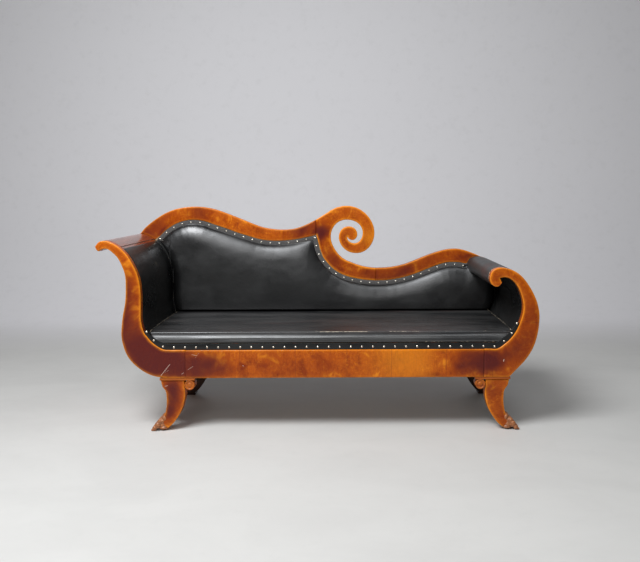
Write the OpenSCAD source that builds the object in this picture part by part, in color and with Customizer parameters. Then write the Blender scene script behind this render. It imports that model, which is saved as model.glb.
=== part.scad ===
// Recamier: a sofa with one high scrolled arm, a low in-scrolled arm and a shaped back with a volute.
// The front looks along -Y, the high arm is at -X, and the floor is z = 0.

/* [Overall] */
// Length over both arms
sofa_w = 1900; // [1700:10:2100]
// Depth from the front frame to the rear frame
sofa_d = 650; // [560:10:760]
// Height of the high left arm
left_arm_h = 833; // [780:1:900]
// Rise of the crest and of its volute above the left arm
crest_rise = 135; // [110:1:170]
// Drop of the low right arm below the left arm
arm_drop = 121; // [95:1:150]

/* [Frame] */
// Height of the underside of the rails
leg_h = 235; // [200:1:260]
// Height of the veneered face of the rails
rail_h = 125; // [110:1:140]
// Thickness of the front and rear frames
frame_t = 38; // [32:1:48]
// Reach of the left arm from its lip to the rail joint
left_arm_w = 370; // [340:1:400]
// Reach of the right arm from its back to the rail joint
right_arm_w = 235; // [215:1:255]
// Height of the tacking ledge above the rail's veneered face
ledge_h = 24; // [18:1:30]
// Step of the tacking ledge behind the veneered face
ledge_in = 6; // [4:0.5:9]
// Width of a seat crossbar
crossbar_w = 40; // [30:1:60]
// Height of a seat crossbar
crossbar_h = 45; // [30:1:60]
// Width of a side rail of the seat frame
side_rail_w = 30; // [24:1:36]
// Height of a side rail of the seat frame
side_rail_h = 90; // [70:1:100]

/* [Joinery] */
// Thickness of the tenons on the rails
tenon_t = 12; // [8:1:16]
// Height of the tenons on the rails
tenon_h = 80; // [60:1:90]
// Length of the tenons on the rails
tenon_l = 50; // [35:1:60]
// Length of the stub tenons on crossbars and arm rails
stub_l = 15; // [10:1:20]
// Shoulder left round a stub tenon
stub_shoulder = 3; // [2:0.5:4]
// Clearance round a tenon in its mortise
joint_gap = 0.2; // [0.1:0.05:0.4]
// Radius of the pegs that lock the rail tenons
peg_r = 4.5; // [3:0.5:6]
// Length of a peg
peg_l = 27; // [24:1:30]
// Radius of the crest and leg dowels
dowel_r = 5; // [4:0.5:6]
// Half length of a dowel
dowel_half = 18; // [12:1:20]
// Leg of a triangular corner block
block_leg = 70; // [50:1:90]
// Height of a corner block
block_h = 60; // [40:1:70]
// Radius of a corner block screw
screw_r = 2.5; // [2:0.25:3.5]
// Length of a corner block screw
screw_l = 45; // [40:1:60]

/* [Crest] */
// Width of the crest board at its highest place
crest_w = 67; // [60:1:76]
// Distance of the crest's left tip from the sofa's left end
crest_in = 27; // [22:1:40]
// Outer radius of the volute at its top
volute_r = 153; // [140:1:165]
// Distance of the volute's centre to the right of the middle
volute_out = 140; // [60:5:200]
// Rise of the crest's right hump above the right arm
hump_rise = 37; // [28:1:50]

/* [Legs] */
// Reach of a sabre leg from its toe to its inner top corner
leg_reach = 190; // [170:1:210]
// Thickness of a leg from front to back
leg_t = 50; // [40:1:60]
// Distance of a leg's face behind the frame's face
leg_set = 5; // [5:0.5:9]
// Distance of the left toes from the sofa's left end
left_toe_in = 214; // [190:1:240]
// Distance of the right toes from the sofa's right end
right_toe_in = 79; // [60:1:100]
// Thickness of the plate between a front leg and the frame
plate_t = 9; // [6:1:14]
// Overhang of the plate round the leg
plate_out = 4; // [2:0.5:5]
// Radius of the turned roundel at a front leg's inner top corner
roundel_r = 22; // [16:1:26]

/* [Upholstery] */
// Rise of the seat's crown above the tacking ledge
seat_rise = 56; // [40:1:76]
// Fall of the seat from its crown to its front lip
seat_fall = 10; // [4:1:16]
// Crown of the back pad in front of its edge
back_crown = 38; // [20:1:50]
// Crown of the left arm's leather in front of the post's inner edge
left_crown = 8; // [2:0.5:12]
// Crown of the right arm's leather in front of the post's inner edge
right_crown = 4; // [2:0.5:8]
// Thickness of the arm pads behind the posts' inner edge
arm_pad_t = 16; // [12:1:20]
// Thickness of the veneered board on top of the left arm
board_t = 10; // [8:1:12]
// Thickness of the covers on the outside of the arms
cover_t = 5; // [3:0.5:6]
// Width of the gimp strips
gimp_w = 22; // [16:1:26]
// Thickness of the gimp strips
gimp_t = 1.6; // [1:0.1:3]
// Thickness of a webbing strip
web_t = 1.5; // [1:0.1:2.5]
// Width of a webbing strip
web_w = 60; // [40:1:80]
// Number of webbing strips along the seat
long_web_count = 5; // [3:1:6]
// Number of webbing strips across the seat
cross_web_count = 14; // [8:1:16]
// Thickness of the hessian sheets
hessian_t = 1.2; // [0.8:0.1:2]
// Thickness of the cloth that closes the back
back_cover_t = 2; // [1.5:0.5:4]

/* [Nails] */
// Radius of a domed nail's head
nail_r = 4.8; // [3.5:0.1:6]
// Height of a domed nail's head
nail_dome = 3; // [2:0.1:4]
// Radius of a nail's shank
shank_r = 1; // [0.6:0.1:1.4]
// Spacing of the nails along the seat
seat_pitch = 48.5; // [30:0.5:70]
// Spacing of the nails along the crest
back_pitch = 45; // [30:0.5:70]
// Spacing of the small nails on the left arm
arm_pitch = 15; // [11:0.5:30]
// Radius of a small nail's head
small_nail_r = 3; // [2:0.1:4]

/* [Hidden] */
$fn = 48;
curve_steps = 4;

// Overrun of every cut
over = 1;
// Clearance that keeps the soft pieces off their neighbours
soft_gap = 0.3;

// Main planes
right_arm_h = left_arm_h - arm_drop;
back_h = left_arm_h + crest_rise;
half_w = sofa_w / 2;
front_y = -sofa_d / 2;
inner_y = front_y + frame_t;
rail_top = leg_h + rail_h;
ledge_top = rail_top + ledge_h;
rail_l = -half_w + left_arm_w;
rail_r = half_w - right_arm_w;
face_mid = front_y + frame_t / 2;
seat_h = ledge_top + seat_rise;

// Height of the webbing, the hessian and the seat pad's flat underside
web_z = ledge_top;
deck_z = web_z + 2 * web_t;
pad_z = deck_z + hessian_t + soft_gap;

// Planes of the back's inside
back_bar_h = 40;
back_bar_up = 12;
back_edge_out = 3;
back_pad_gap = 1;
back_pad_fit = 2.5;
back_y0 = -inner_y + hessian_t;
back_y1 = -front_y - ledge_in;
back_low_z = ledge_top + back_bar_up;
back_z = seat_h + back_pad_gap;
back_edge_y = -inner_y - back_edge_out;

// Smooth curve through the points p, whatever their number of coordinates
function bend(p, i, t) =
    let (a = p[max(i - 1, 0)], b = p[i], c = p[i + 1], d = p[min(i + 2, len(p) - 1)])
    0.5 * (2 * b + (c - a) * t + (2 * a - 5 * b + 4 * c - d) * t * t
        + (3 * b - a - 3 * c + d) * t * t * t);
function curve(p) = concat(
    [for (i = [0 : len(p) - 2]) for (j = [0 : curve_steps - 1]) bend(p, i, j / curve_steps)],
    [p[len(p) - 1]]);

// Shares of a box, from its left, right, bottom and top
function on_box(left, right, bottom, top, shares) =
    [for (s = shares) [left + s[0] * (right - left), bottom + s[1] * (top - bottom)]];
function part_of(p, first, last) = [for (i = [first : last]) p[i]];
function back_to_front(p) = [for (i = [len(p) - 1 : -1 : 0]) p[i]];
function flipped(p) = [for (q = p) [q[1], q[0]]];
function side(p, i) =
    let (d = p[min(i + 1, len(p) - 1)] - p[max(i - 1, 0)])
    [-d[1], d[0]] / norm(d);
function beside(p, d) = [for (i = [0 : len(p) - 1]) p[i] + d * side(p, i)];
function run(p) = [for (i = 0, a = 0; i < len(p);
    a = a + (i + 1 < len(p) ? norm(p[i + 1] - p[i]) : 0), i = i + 1) a];
function length_of(p) = let (r = run(p)) r[len(r) - 1];
function place(p, d) =
    let (r = run(p))
    [lookup(d, [for (i = [0 : len(p) - 1]) [r[i], p[i][0]]]),
        lookup(d, [for (i = [0 : len(p) - 1]) [r[i], p[i][1]]])];
function evenly(p, n) =
    let (r = run(p), all = r[len(r) - 1],
        xs = [for (i = [0 : len(p) - 1]) [r[i], p[i][0]]],
        zs = [for (i = [0 : len(p) - 1]) [r[i], p[i][1]]])
    [for (i = [0 : n]) [lookup(all * i / n, xs), lookup(all * i / n, zs)]];

// Outer edge of the left arm, from the lip under the scroll down to the rail joint
left_outer_shares = [[0, .958], [.014, .935], [.041, .926], [.07, .94], [.132, .943],
    [.197, .915], [.265, .865], [.327, .764], [.332, .664], [.319, .555], [.284, .453],
    [.262, .336], [.273, .256], [.324, .164], [.427, .087], [.576, .027], [.72, .005],
    [.865, 0], [1, 0]];
// Inner edge of the left arm, point for point across from the outer edge
left_inner_shares = [[0, .958], [.014, .973], [.038, .99], [.081, 1], [.157, .995],
    [.27, .955], [.373, .886], [.465, .771], [.5, .662], [.5, .54], [.495, .431]];
left_seat_shares = [[.522, .171], [.565, .12], [.616, .072], [.676, .034], [.743, .006]];
left_level_shares = [.811, .905, 1];
left_outer = [for (p = curve(on_box(-half_w, rail_l, leg_h, left_arm_h, left_outer_shares)))
    [p[0], max(p[1], leg_h)]];
left_inner = curve(concat(
    on_box(-half_w, rail_l, leg_h, left_arm_h, left_inner_shares),
    on_box(-half_w, rail_l, rail_top, left_arm_h, left_seat_shares),
    [for (s = left_level_shares) [-half_w + s * left_arm_w, rail_top]]));

// Outer edge of the right arm, from the tip of its in-scroll over the top and down to the rail
right_outer_shares = [[.289, .87], [.268, .841], [.2, .826], [.123, .845], [.081, .881],
    [.085, .929], [.136, .977], [.264, 1], [.387, .992], [.515, .971], [.651, .925],
    [.77, .855], [.877, .769], [.949, .688], [.991, .602], [1, .524], [.983, .423],
    [.932, .314], [.847, .22], [.723, .134], [.574, .057], [.468, 0]];
// Inner edge of the right arm, point for point across from the outer edge
right_inner_shares = [[.289, .87], [.285, .878], [.277, .889], [.268, .895], [.26, .899],
    [.264, .904], [.281, .908], [.319, .912], [.374, .912], [.447, .899], [.532, .866],
    [.613, .807], [.668, .738], [.698, .673]];
right_seat_shares = [[.702, .482], [.685, .412], [.643, .318], [.574, .213], [.481, .127],
    [.374, .06]];
right_level_shares = [.243, .12];
eye_shares = [.183, .876];
right_outer = curve(on_box(rail_r, half_w, leg_h, right_arm_h, right_outer_shares));
right_inner = curve(concat(
    on_box(rail_r, half_w, leg_h, right_arm_h, right_inner_shares),
    on_box(rail_r, half_w, rail_top, right_arm_h, right_seat_shares),
    [for (s = right_level_shares) [rail_r + s * right_arm_w, rail_top]]));
right_eye = on_box(rail_r, half_w, leg_h, right_arm_h, [eye_shares])[0];

// Crest, from its left tip to the volute: place along, height of the top edge, width
crest_left_shares = [[0, 0, .15], [.028, .215, .7], [.06, .393, 1.28], [.101, .585, 1.52],
    [.147, .763, 1.31], [.203, .904, 1.12], [.262, .978, 1.01], [.318, 1, 1.01],
    [.374, .97, 1.07], [.431, .889, 1.18], [.488, .756, 1.16], [.546, .607, 1.15],
    [.615, .422, 1.07], [.687, .237, .97], [.762, .141, .88], [.831, .126, .82],
    [.889, .178, .84], [.947, .319, .97], [1, .496, 1.19]];
// Crest, from the volute to the right arm: place along, height of the top edge, width
crest_right_shares = [[0, 0, .955], [.082, .01, .955], [.157, .052, .955], [.261, .177, .97],
    [.369, .396, 1.03], [.479, .646, 1.04], [.588, .854, 1], [.675, .969, .985],
    [.75, 1, 1.01], [.802, .974, 1], [.858, .896, 1], [.914, .781, .84], [.968, .656, .54],
    [1, .552, .24]];
fork_share = 1.13;
joint_share = .85;
valley_share = 1.059;
crest_end_share = .387;
volute_x = volute_out;
volute_z = back_h - volute_r;
crest_l = -half_w + crest_in;
fork_x = volute_x - fork_share * volute_r;
joint_x = volute_x + joint_share * volute_r;
valley_z = volute_z - valley_share * volute_r;
crest_r = rail_r + crest_end_share * right_arm_w;
hump_z = right_arm_h + hump_rise;
function crest_top(left, right, low, high, shares) = curve([for (s = shares)
    [left + s[0] * (right - left), low + s[1] * (high - low)]]);
function crest_low(left, right, low, high, shares) = curve([for (s = shares)
    [left + s[0] * (right - left), low + s[1] * (high - low) - s[2] * crest_w]]);
left_top = crest_top(crest_l, fork_x, left_arm_h, back_h, crest_left_shares);
left_low = crest_low(crest_l, fork_x, left_arm_h, back_h, crest_left_shares);
right_top = crest_top(joint_x, crest_r, valley_z, hump_z, crest_right_shares);
right_low = crest_low(joint_x, crest_r, valley_z, hump_z, crest_right_shares);

// Volute: radius of its outer and inner edges, as shares, every eighth of a turn inwards
spiral_outer_shares = [1.09, 1, .885, .8, .69, .53, .42, .38, .36, .325, .285, .23, .17, .11,
    .09, .09];
spiral_inner_shares = [.855, .68, .645, .62, .54, .485, .405, .315, .195, .13];
spiral_outer_angle = 135;
spiral_inner_angle = 270;
eighth_angle = 45;
volute_foot_shares = [[joint_share, -valley_share], [.732, -1.052], [.47, -1.013],
    [.2, -.935]];
volute_low_shares = [[.536, -1.458], [.235, -1.412], [-.065, -1.346], [-.333, -1.235],
    [-.562, -1.085], [-.758, -.882], [-.928, -.647], [-1.033, -.386], [-1.078, -.118]];
function spiral(shares, start) =
    let (p = curve([for (i = [0 : len(shares) - 1]) [start - eighth_angle * i, shares[i]]]))
    [for (q = p) [volute_x, volute_z] + volute_r * q[1] * [cos(q[0]), sin(q[0])]];
function by_volute(shares) =
    [for (s = shares) [volute_x + s[0] * volute_r, volute_z + s[1] * volute_r]];
fork_top = left_top[len(left_top) - 1];
fork_low = left_low[len(left_low) - 1];
joint_top = right_top[0];
joint_low = right_low[0];
volute_outer = concat([fork_top], spiral(spiral_outer_shares, spiral_outer_angle));
spiral_inner = spiral(spiral_inner_shares, spiral_inner_angle);
volute_inner = concat(
    part_of(curve(concat(by_volute(volute_foot_shares), [spiral_inner[0]])), 0,
        curve_steps * len(volute_foot_shares) - 1), spiral_inner);
volute_low = curve(concat([joint_low], by_volute(volute_low_shares), [fork_low]));

// Inner edges of the posts as tables of x against z, over the height of the seat and the back
left_rise_count = 6;
right_rise_count = 8;
left_rise = part_of(left_inner, left_rise_count * curve_steps,
    len(left_inner) - 1 - len(left_level_shares) * curve_steps);
right_rise = part_of(right_inner, right_rise_count * curve_steps,
    len(right_inner) - 1 - len(right_level_shares) * curve_steps);
flipped_left = flipped(back_to_front(left_rise));
flipped_right = flipped(back_to_front(right_rise));

// Line that the seat's leather is nailed along, from the left arm round to the right arm
left_turn_count = 11;
right_turn_count = 16;
seat_line_left = part_of(left_inner, left_turn_count * curve_steps, len(left_inner) - 1);
seat_line_right = back_to_front(part_of(right_inner, right_turn_count * curve_steps,
    len(right_inner) - 1));
seat_line = concat(seat_line_left, [[rail_r, rail_top]], seat_line_right);

// Places of the bars that run from front to back: middle x, bottom z, width, height
side_x_shares = [.513, .49];
left_side_x = -half_w + side_x_shares[0] * left_arm_w;
right_side_x = rail_r + side_x_shares[1] * right_arm_w;
side_rail_z = ledge_top + web_t - side_rail_h;
left_side_bar = [left_side_x, side_rail_z, side_rail_w, side_rail_h];
right_side_bar = [right_side_x, side_rail_z, side_rail_w, side_rail_h];
scroll_bar_w = 24;
scroll_bar_h = 12;
scroll_bar_share = .15;
scroll_table = part_of(left_outer, curve_steps, left_rise_count * curve_steps);
scroll_bar_x = -half_w + scroll_bar_share * left_arm_w;
scroll_bar_z = (lookup(scroll_bar_x, left_inner) - board_t
    + lookup(scroll_bar_x, scroll_table) - scroll_bar_h) / 2;
left_scroll_bar = [scroll_bar_x, scroll_bar_z, scroll_bar_w, scroll_bar_h];
arm_bar_w = 25;
arm_bar_h = 50;
arm_bar_gap = 2;
left_bar_share = .677;
left_bar_z = leg_h + left_bar_share * (left_arm_h - leg_h);
left_bar_x = lookup(left_bar_z + arm_bar_h, flipped_left) - arm_pad_t - arm_bar_gap
    - arm_bar_w / 2;
left_arm_bar = [left_bar_x, left_bar_z, arm_bar_w, arm_bar_h];
right_bar_shares = [.855, .54];
right_arm_bar = concat(on_box(rail_r, half_w, leg_h, right_arm_h, [right_bar_shares])[0],
    [arm_bar_w, arm_bar_h]);
eye_bar_r = 12;
crossbar_shares = [.25, .5, .75];
crossbar_drop = 10;
crossbar_z = rail_top - crossbar_h - crossbar_drop;

// Legs and feet, as shares of the reach and of the height, from the toe side and the heel side
leg_outer_shares = [[.24, 1], [.27, .875], [.34, .787], [.358, .68], [.358, .55],
    [.342, .435], [.316, .34], [.263, .255], [.18, .18], [.09, .125]];
leg_inner_shares = [[.775, 1], [.78, .85], [.79, .765], [.784, .66], [.747, .52],
    [.7, .41], [.637, .31], [.558, .21], [.463, .115], [.375, .055]];
paw_shares = [[.09, .125], [.02, .075], [0, .03], [.02, 0], [.37, 0], [.4, .02],
    [.375, .055]];
roundel_shares = [.9, .87];

// A 2D outline in the XZ plane, made solid from y0 to y1
module board(y0, y1) {
    translate([0, y1, 0])
        rotate([90, 0, 0])
            linear_extrude(y1 - y0) children();
}
module block(x0, x1, y0, y1, z0, z1) {
    translate([x0, y0, z0]) cube([x1 - x0, y1 - y0, z1 - z0]);
}
module band(outer, inner) {
    polygon(concat(outer, back_to_front(inner)));
}

// Bars from front to back with a stub tenon at each end
module cross_bar(bar) {
    x0 = bar[0] - bar[2] / 2;
    block(x0, x0 + bar[2], inner_y, -inner_y, bar[1], bar[1] + bar[3]);
    bar_stubs(bar, 0);
}
module bar_stubs(bar, grow) {
    x0 = bar[0] - bar[2] / 2 + stub_shoulder - grow;
    x1 = bar[0] + bar[2] / 2 - stub_shoulder + grow;
    z0 = bar[1] + stub_shoulder - grow;
    z1 = bar[1] + bar[3] - stub_shoulder + grow;
    block(x0, x1, inner_y - stub_l - grow, -inner_y + stub_l + grow, z0, z1);
}

// Seat frame
module rail_tenons(grow) {
    z0 = leg_h + (rail_h - tenon_h) / 2 - grow;
    z1 = z0 + tenon_h + 2 * grow;
    y0 = face_mid - tenon_t / 2 - grow;
    y1 = face_mid + tenon_t / 2 + grow;
    block(rail_l - tenon_l - grow, rail_l + over, y0, y1, z0, z1);
    block(rail_r - over, rail_r + tenon_l + grow, y0, y1, z0, z1);
}
function crossbar_of(share) = [rail_l + share * (rail_r - rail_l), crossbar_z, crossbar_w,
    crossbar_h];
module rail_pegs_front(grow) {
    z = leg_h + rail_h / 2;
    for (x = [rail_l - tenon_l / 2, rail_r + tenon_l / 2])
        for (up = [-tenon_h / 4, tenon_h / 4])
            translate([x, inner_y + grow, z + up])
                rotate([90, 0, 0]) cylinder(r = peg_r + grow, h = peg_l + 2 * grow);
}
module long_rail() {
    difference() {
        union() {
            block(rail_l, rail_r, front_y, inner_y, leg_h, rail_top);
            block(rail_l, rail_r, front_y + ledge_in, inner_y, rail_top, ledge_top);
            rail_tenons(0);
        }
        for (s = crossbar_shares) bar_stubs(crossbar_of(s), joint_gap);
        rail_pegs_front(0);
    }
}
module front_rail() {
    color("peru") long_rail();
}
module rear_rail() {
    color("saddlebrown") mirror([0, 1, 0]) long_rail();
}
module left_side_rail() {
    color("burlywood") difference() {
        cross_bar(left_side_bar);
        block_screws(0);
    }
}
module right_side_rail() {
    color("burlywood") difference() {
        cross_bar(right_side_bar);
        block_screws(0);
    }
}
module seat_crossbar_left() {
    color("burlywood") cross_bar(crossbar_of(crossbar_shares[0]));
}
module seat_crossbar_middle() {
    color("burlywood") cross_bar(crossbar_of(crossbar_shares[1]));
}
module seat_crossbar_right() {
    color("burlywood") cross_bar(crossbar_of(crossbar_shares[2]));
}

// Arm posts, sawn from board, with a tacking ledge that turns up from the rail
module left_ledge() {
    board(front_y + ledge_in, inner_y)
        band(seat_line_left, beside(seat_line_left, ledge_h));
}
module right_ledge() {
    line = concat([[rail_r, rail_top]], seat_line_right);
    board(front_y + ledge_in, inner_y) band(line, beside(line, ledge_h));
}
module post_sockets() {
    rail_tenons(joint_gap);
    rail_pegs_front(0);
    block_screws(0);
    leg_dowel_set(0);
    for (bar = [left_side_bar, right_side_bar, left_scroll_bar, left_arm_bar, right_arm_bar])
        bar_stubs(bar, joint_gap);
    eye_bar(joint_gap);
}
module left_outline() {
    band(left_outer, left_inner);
}
module right_outline() {
    band(concat(right_outer, [[rail_r, leg_h]]), concat(right_inner, [[rail_r, rail_top]]));
}
module left_post() {
    difference() {
        union() {
            board(front_y, inner_y) left_outline();
            left_ledge();
        }
        post_sockets();
    }
}
module right_post() {
    difference() {
        union() {
            board(front_y, inner_y) right_outline();
            right_ledge();
        }
        post_sockets();
    }
}
module front_left_post() {
    color("peru") left_post();
}
module front_right_post() {
    color("peru") right_post();
}
module rear_left_post() {
    color("saddlebrown") difference() {
        mirror([0, 1, 0]) difference() {
            board(front_y, inner_y) left_outline();
            post_sockets();
        }
        crest_dowel_set(0);
        back_rail_stub(joint_gap);
    }
}
module rear_right_post() {
    color("saddlebrown") difference() {
        mirror([0, 1, 0]) difference() {
            board(front_y, inner_y) right_outline();
            post_sockets();
        }
        crest_dowel_set(0);
        back_rail_stub(joint_gap);
    }
}

// Sabre legs
function leg_points(shares, toe_x, way) =
    [for (s = shares) [toe_x + way * s[0] * leg_reach, s[1] * (leg_h - plate_t)]];
module leg_outline(toe_x, way, flat_foot) {
    outer = curve(leg_points(leg_outer_shares, toe_x, way));
    inner = curve(leg_points(leg_inner_shares, toe_x, way));
    band(outer, inner);
    if (flat_foot) polygon(leg_points(paw_shares, toe_x, way));
}
left_toe = -half_w + left_toe_in;
right_toe = half_w - right_toe_in;
leg_front = front_y + leg_set;
function roundel_at(toe_x, way) = [toe_x + way * roundel_shares[0] * leg_reach,
    leg_h - plate_t - roundel_r];
module front_leg(toe_x, way) {
    at = roundel_at(toe_x, way);
    difference() {
        board(leg_front, leg_front + leg_t) difference() {
            leg_outline(toe_x, way, false);
            translate(at) circle(r = roundel_r);
        }
        leg_dowel_set(0);
    }
}
module front_left_leg() {
    color("peru") front_leg(left_toe, 1);
}
module front_right_leg() {
    color("peru") front_leg(right_toe, -1);
}
module rear_leg(toe_x, way) {
    difference() {
        mirror([0, 1, 0]) union() {
            board(leg_front, leg_front + leg_t) leg_outline(toe_x, way, true);
            leg_cap(toe_x, way);
        }
        leg_dowel_set(0);
    }
}
module leg_cap(toe_x, way) {
    x0 = toe_x + way * leg_outer_shares[0][0] * leg_reach;
    x1 = toe_x + way * leg_inner_shares[0][0] * leg_reach;
    block(min(x0, x1), max(x0, x1), leg_front, leg_front + leg_t, leg_h - plate_t, leg_h);
}
module rear_left_leg() {
    color("sienna") rear_leg(left_toe, 1);
}
module rear_right_leg() {
    color("sienna") rear_leg(right_toe, -1);
}
plate_end_share = 1.02;
module leg_plate(toe_x, way) {
    x0 = toe_x + way * (leg_outer_shares[0][0] * leg_reach) - way * plate_out;
    x1 = toe_x + way * plate_end_share * leg_reach;
    difference() {
        block(min(x0, x1), max(x0, x1), leg_front - plate_out, leg_front + leg_t + plate_out,
            leg_h - plate_t, leg_h);
        leg_dowel_set(0);
    }
}
module front_left_leg_plate() {
    color("chocolate") leg_plate(left_toe, 1);
}
module front_right_leg_plate() {
    color("chocolate") leg_plate(right_toe, -1);
}

// Turned roundel with a raised rim, a hollow and a middle button
rim_share = .78;
button_share = .36;
roundel_lip = 4;
module roundel(toe_x, way) {
    at = roundel_at(toe_x, way);
    translate([at[0], leg_front - roundel_lip, at[1]])
        rotate([-90, 0, 0])
            rotate_extrude()
                polygon([[0, 0], [button_share * roundel_r, 0],
                    [button_share * roundel_r + roundel_lip / 2, roundel_lip / 2],
                    [rim_share * roundel_r - roundel_lip / 2, roundel_lip / 2],
                    [rim_share * roundel_r, 0], [roundel_r - roundel_lip / 4, 0],
                    [roundel_r, roundel_lip / 2], [roundel_r, leg_t + roundel_lip],
                    [0, leg_t + roundel_lip]]);
}
module front_left_roundel() {
    color("sienna") roundel(left_toe, 1);
}
module front_right_roundel() {
    color("sienna") roundel(right_toe, -1);
}

// Carved paws: a heel and toes that spread from it
toe_h_share = .12;
module paw(toe_x, way) {
    board(leg_front, leg_front + leg_t) polygon(leg_points(paw_shares, toe_x, way));
    toe_r = toe_h_share * leg_h / 2;
    for (i = [-1, 0, 1])
        translate([toe_x + way * (toe_r * 2 / 3), leg_front + leg_t / 2
                + i * (leg_t / 2 - toe_r * 2 / 3), 0])
            intersection() {
                translate([0, 0, toe_r / 2]) sphere(r = toe_r);
                translate([-toe_r * 2 / 3, -toe_r, 0])
                    cube([toe_r * 4 / 3, toe_r * 2, toe_r * 2]);
            }
}
module front_left_paw() {
    color("tan") paw(left_toe, 1);
}
module front_right_paw() {
    color("tan") paw(right_toe, -1);
}

// Dowels from the legs into the frame, two to a leg
leg_dowel_shares = [.38, .66];
leg_dowel_up = 18;
leg_dowel_down = 25;
module leg_dowel_set(grow) {
    for (way = [1, -1])
        for (s = leg_dowel_shares)
            for (y = [face_mid, -face_mid])
                translate([(way > 0 ? left_toe : right_toe) + way * s * leg_reach, y,
                        leg_h - plate_t - leg_dowel_down - grow])
                    cylinder(r = dowel_r + grow,
                        h = plate_t + leg_dowel_down + leg_dowel_up + 2 * grow);
}
module leg_dowels() {
    color("wheat") leg_dowel_set(0);
}

// Glued and screwed blocks in the corners of the seat frame
block_up = 45;
block_z = leg_h + block_up;
block_nose = 16;
module corner_block(x, way) {
    difference() {
        translate([x, inner_y, block_z])
            linear_extrude(block_h)
                polygon([[0, 0], [way * block_leg, 0], [way * block_leg, block_nose],
                    [way * block_nose, block_leg], [0, block_leg]]);
        block_screws(0);
    }
}
left_corner_x = left_side_bar[0] + side_rail_w / 2;
right_corner_x = right_side_bar[0] - side_rail_w / 2;
screw_head_r = 2 * screw_r;
screw_head_h = 3;
screw_off = 45;
module screw() {
    cylinder(r = screw_r, h = screw_l);
    translate([0, 0, -screw_head_h]) cylinder(r = screw_head_r, h = screw_head_h);
}
module block_screws(grow) {
    z = block_z + block_h / 2;
    reach = block_nose + (block_leg - block_nose) * (block_leg - screw_off)
        / (block_leg - block_nose);
    for (near = [1, -1])
        for (way = [1, -1]) {
            x = way > 0 ? left_corner_x : right_corner_x;
            translate([x + way * screw_off, near * (inner_y + reach - screw_head_h), z])
                rotate([near * 90, 0, 0]) screw();
            translate([x + way * (reach - screw_head_h), near * (inner_y + screw_off), z
                    + screw_head_r * 2])
                rotate([0, -way * 90, 0]) screw();
        }
}
module front_left_corner_block() {
    color("burlywood") corner_block(left_corner_x, 1);
}
module front_right_corner_block() {
    color("burlywood") corner_block(right_corner_x, -1);
}
module rear_left_corner_block() {
    color("burlywood") mirror([0, 1, 0]) corner_block(left_corner_x, 1);
}
module rear_right_corner_block() {
    color("burlywood") mirror([0, 1, 0]) corner_block(right_corner_x, -1);
}
module corner_block_screws() {
    color("dimgray") block_screws(0);
}
module rail_pegs() {
    color("wheat") {
        rail_pegs_front(0);
        mirror([0, 1, 0]) rail_pegs_front(0);
    }
}

// Crest boards of the rear frame
module rear_board() {
    board(-inner_y, -front_y) children();
}
module crest_left() {
    color("peru") difference() {
        rear_board() difference() {
            band(left_top, left_low);
            left_outline();
        }
        crest_dowel_set(0);
        upright_stub(upright_left_x, left_low, joint_gap);
    }
}
module volute_outline() {
    polygon(concat(volute_outer, back_to_front(volute_inner), volute_low));
}
module crest_volute() {
    color("peru") difference() {
        rear_board() volute_outline();
        crest_dowel_set(0);
        upright_stub(upright_right_x, back_to_front(volute_low), joint_gap);
    }
}
// Everything under the top of the right arm's scroll
arm_top_counts = [5, 10];
module under_arm_top() {
    top = part_of(right_outer, arm_top_counts[0] * curve_steps, arm_top_counts[1] * curve_steps);
    polygon(concat(top, [[top[len(top) - 1][0], rail_top], [top[0][0], rail_top]]));
}
module crest_right() {
    color("peru") difference() {
        rear_board() difference() {
            band(right_top, right_low);
            right_outline();
            under_arm_top();
        }
        crest_dowel_set(0);
    }
}

// Dowels of the crest: across its two joints, and down into the rear posts
joint_dowel_share = .28;
left_dowel_shares = [.2, .235];
right_dowel_shares = [.17, .23];
module crest_dowel_set(grow) {
    y = -face_mid;
    for (pair = [[fork_top, fork_low], [joint_top, joint_low]])
        for (s = [joint_dowel_share, 1 - joint_dowel_share]) {
            at = pair[0] + s * (pair[1] - pair[0]);
            translate([at[0] - dowel_half - grow, y, at[1]])
                rotate([0, 90, 0])
                    cylinder(r = dowel_r + grow, h = 2 * (dowel_half + grow));
        }
    for (s = left_dowel_shares) {
        x = -half_w + s * left_arm_w;
        z = lookup(x, left_inner);
        translate([x, y, z - dowel_half - grow])
            cylinder(r = dowel_r + grow, h = 2 * (dowel_half + grow));
    }
    for (s = right_dowel_shares) {
        x = rail_r + s * right_arm_w;
        z = right_arm_h - dowel_r * 2;
        translate([x, y, z - dowel_half - grow])
            cylinder(r = dowel_r + grow, h = dowel_half * 2 + grow * 2);
    }
}
module crest_dowels() {
    color("wheat") crest_dowel_set(0);
}

// Inside frame of the back
stub_in = 24;
module back_rail_stub(grow) {
    x0 = lookup(back_low_z + back_bar_h / 2, flipped_left) - stub_in;
    x1 = lookup(back_low_z + back_bar_h / 2, flipped_right) + stub_in;
    y0 = (back_y0 + back_y1 - tenon_t) / 2;
    block(x0 - grow, x1 + grow, y0 - grow, y0 + tenon_t + grow,
        back_low_z + stub_shoulder - grow, back_low_z + back_bar_h - stub_shoulder + grow);
}
module back_bottom_rail() {
    color("burlywood") difference() {
        union() {
            board(back_y0, back_y1) difference() {
                translate([left_side_x, back_low_z])
                    square([right_side_x + side_rail_w - left_side_x, back_bar_h]);
                left_outline();
                right_outline();
            }
            back_rail_stub(0);
        }
        for (x = [upright_left_x, upright_right_x]) bottom_stub(x, joint_gap);
    }
}
upright_w = 50;
upright_left_out = 300;
upright_right_out = 60;
upright_left_x = fork_x - upright_left_out;
upright_right_x = volute_x + upright_right_out;
module bottom_stub(x, grow) {
    y0 = (back_y0 + back_y1 - tenon_t) / 2;
    block(x - upright_w / 4 - grow, x + upright_w / 4 + grow, y0 - grow,
        y0 + tenon_t + grow, back_low_z + back_bar_h - stub_l - grow,
        back_low_z + back_bar_h + over);
}
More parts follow.
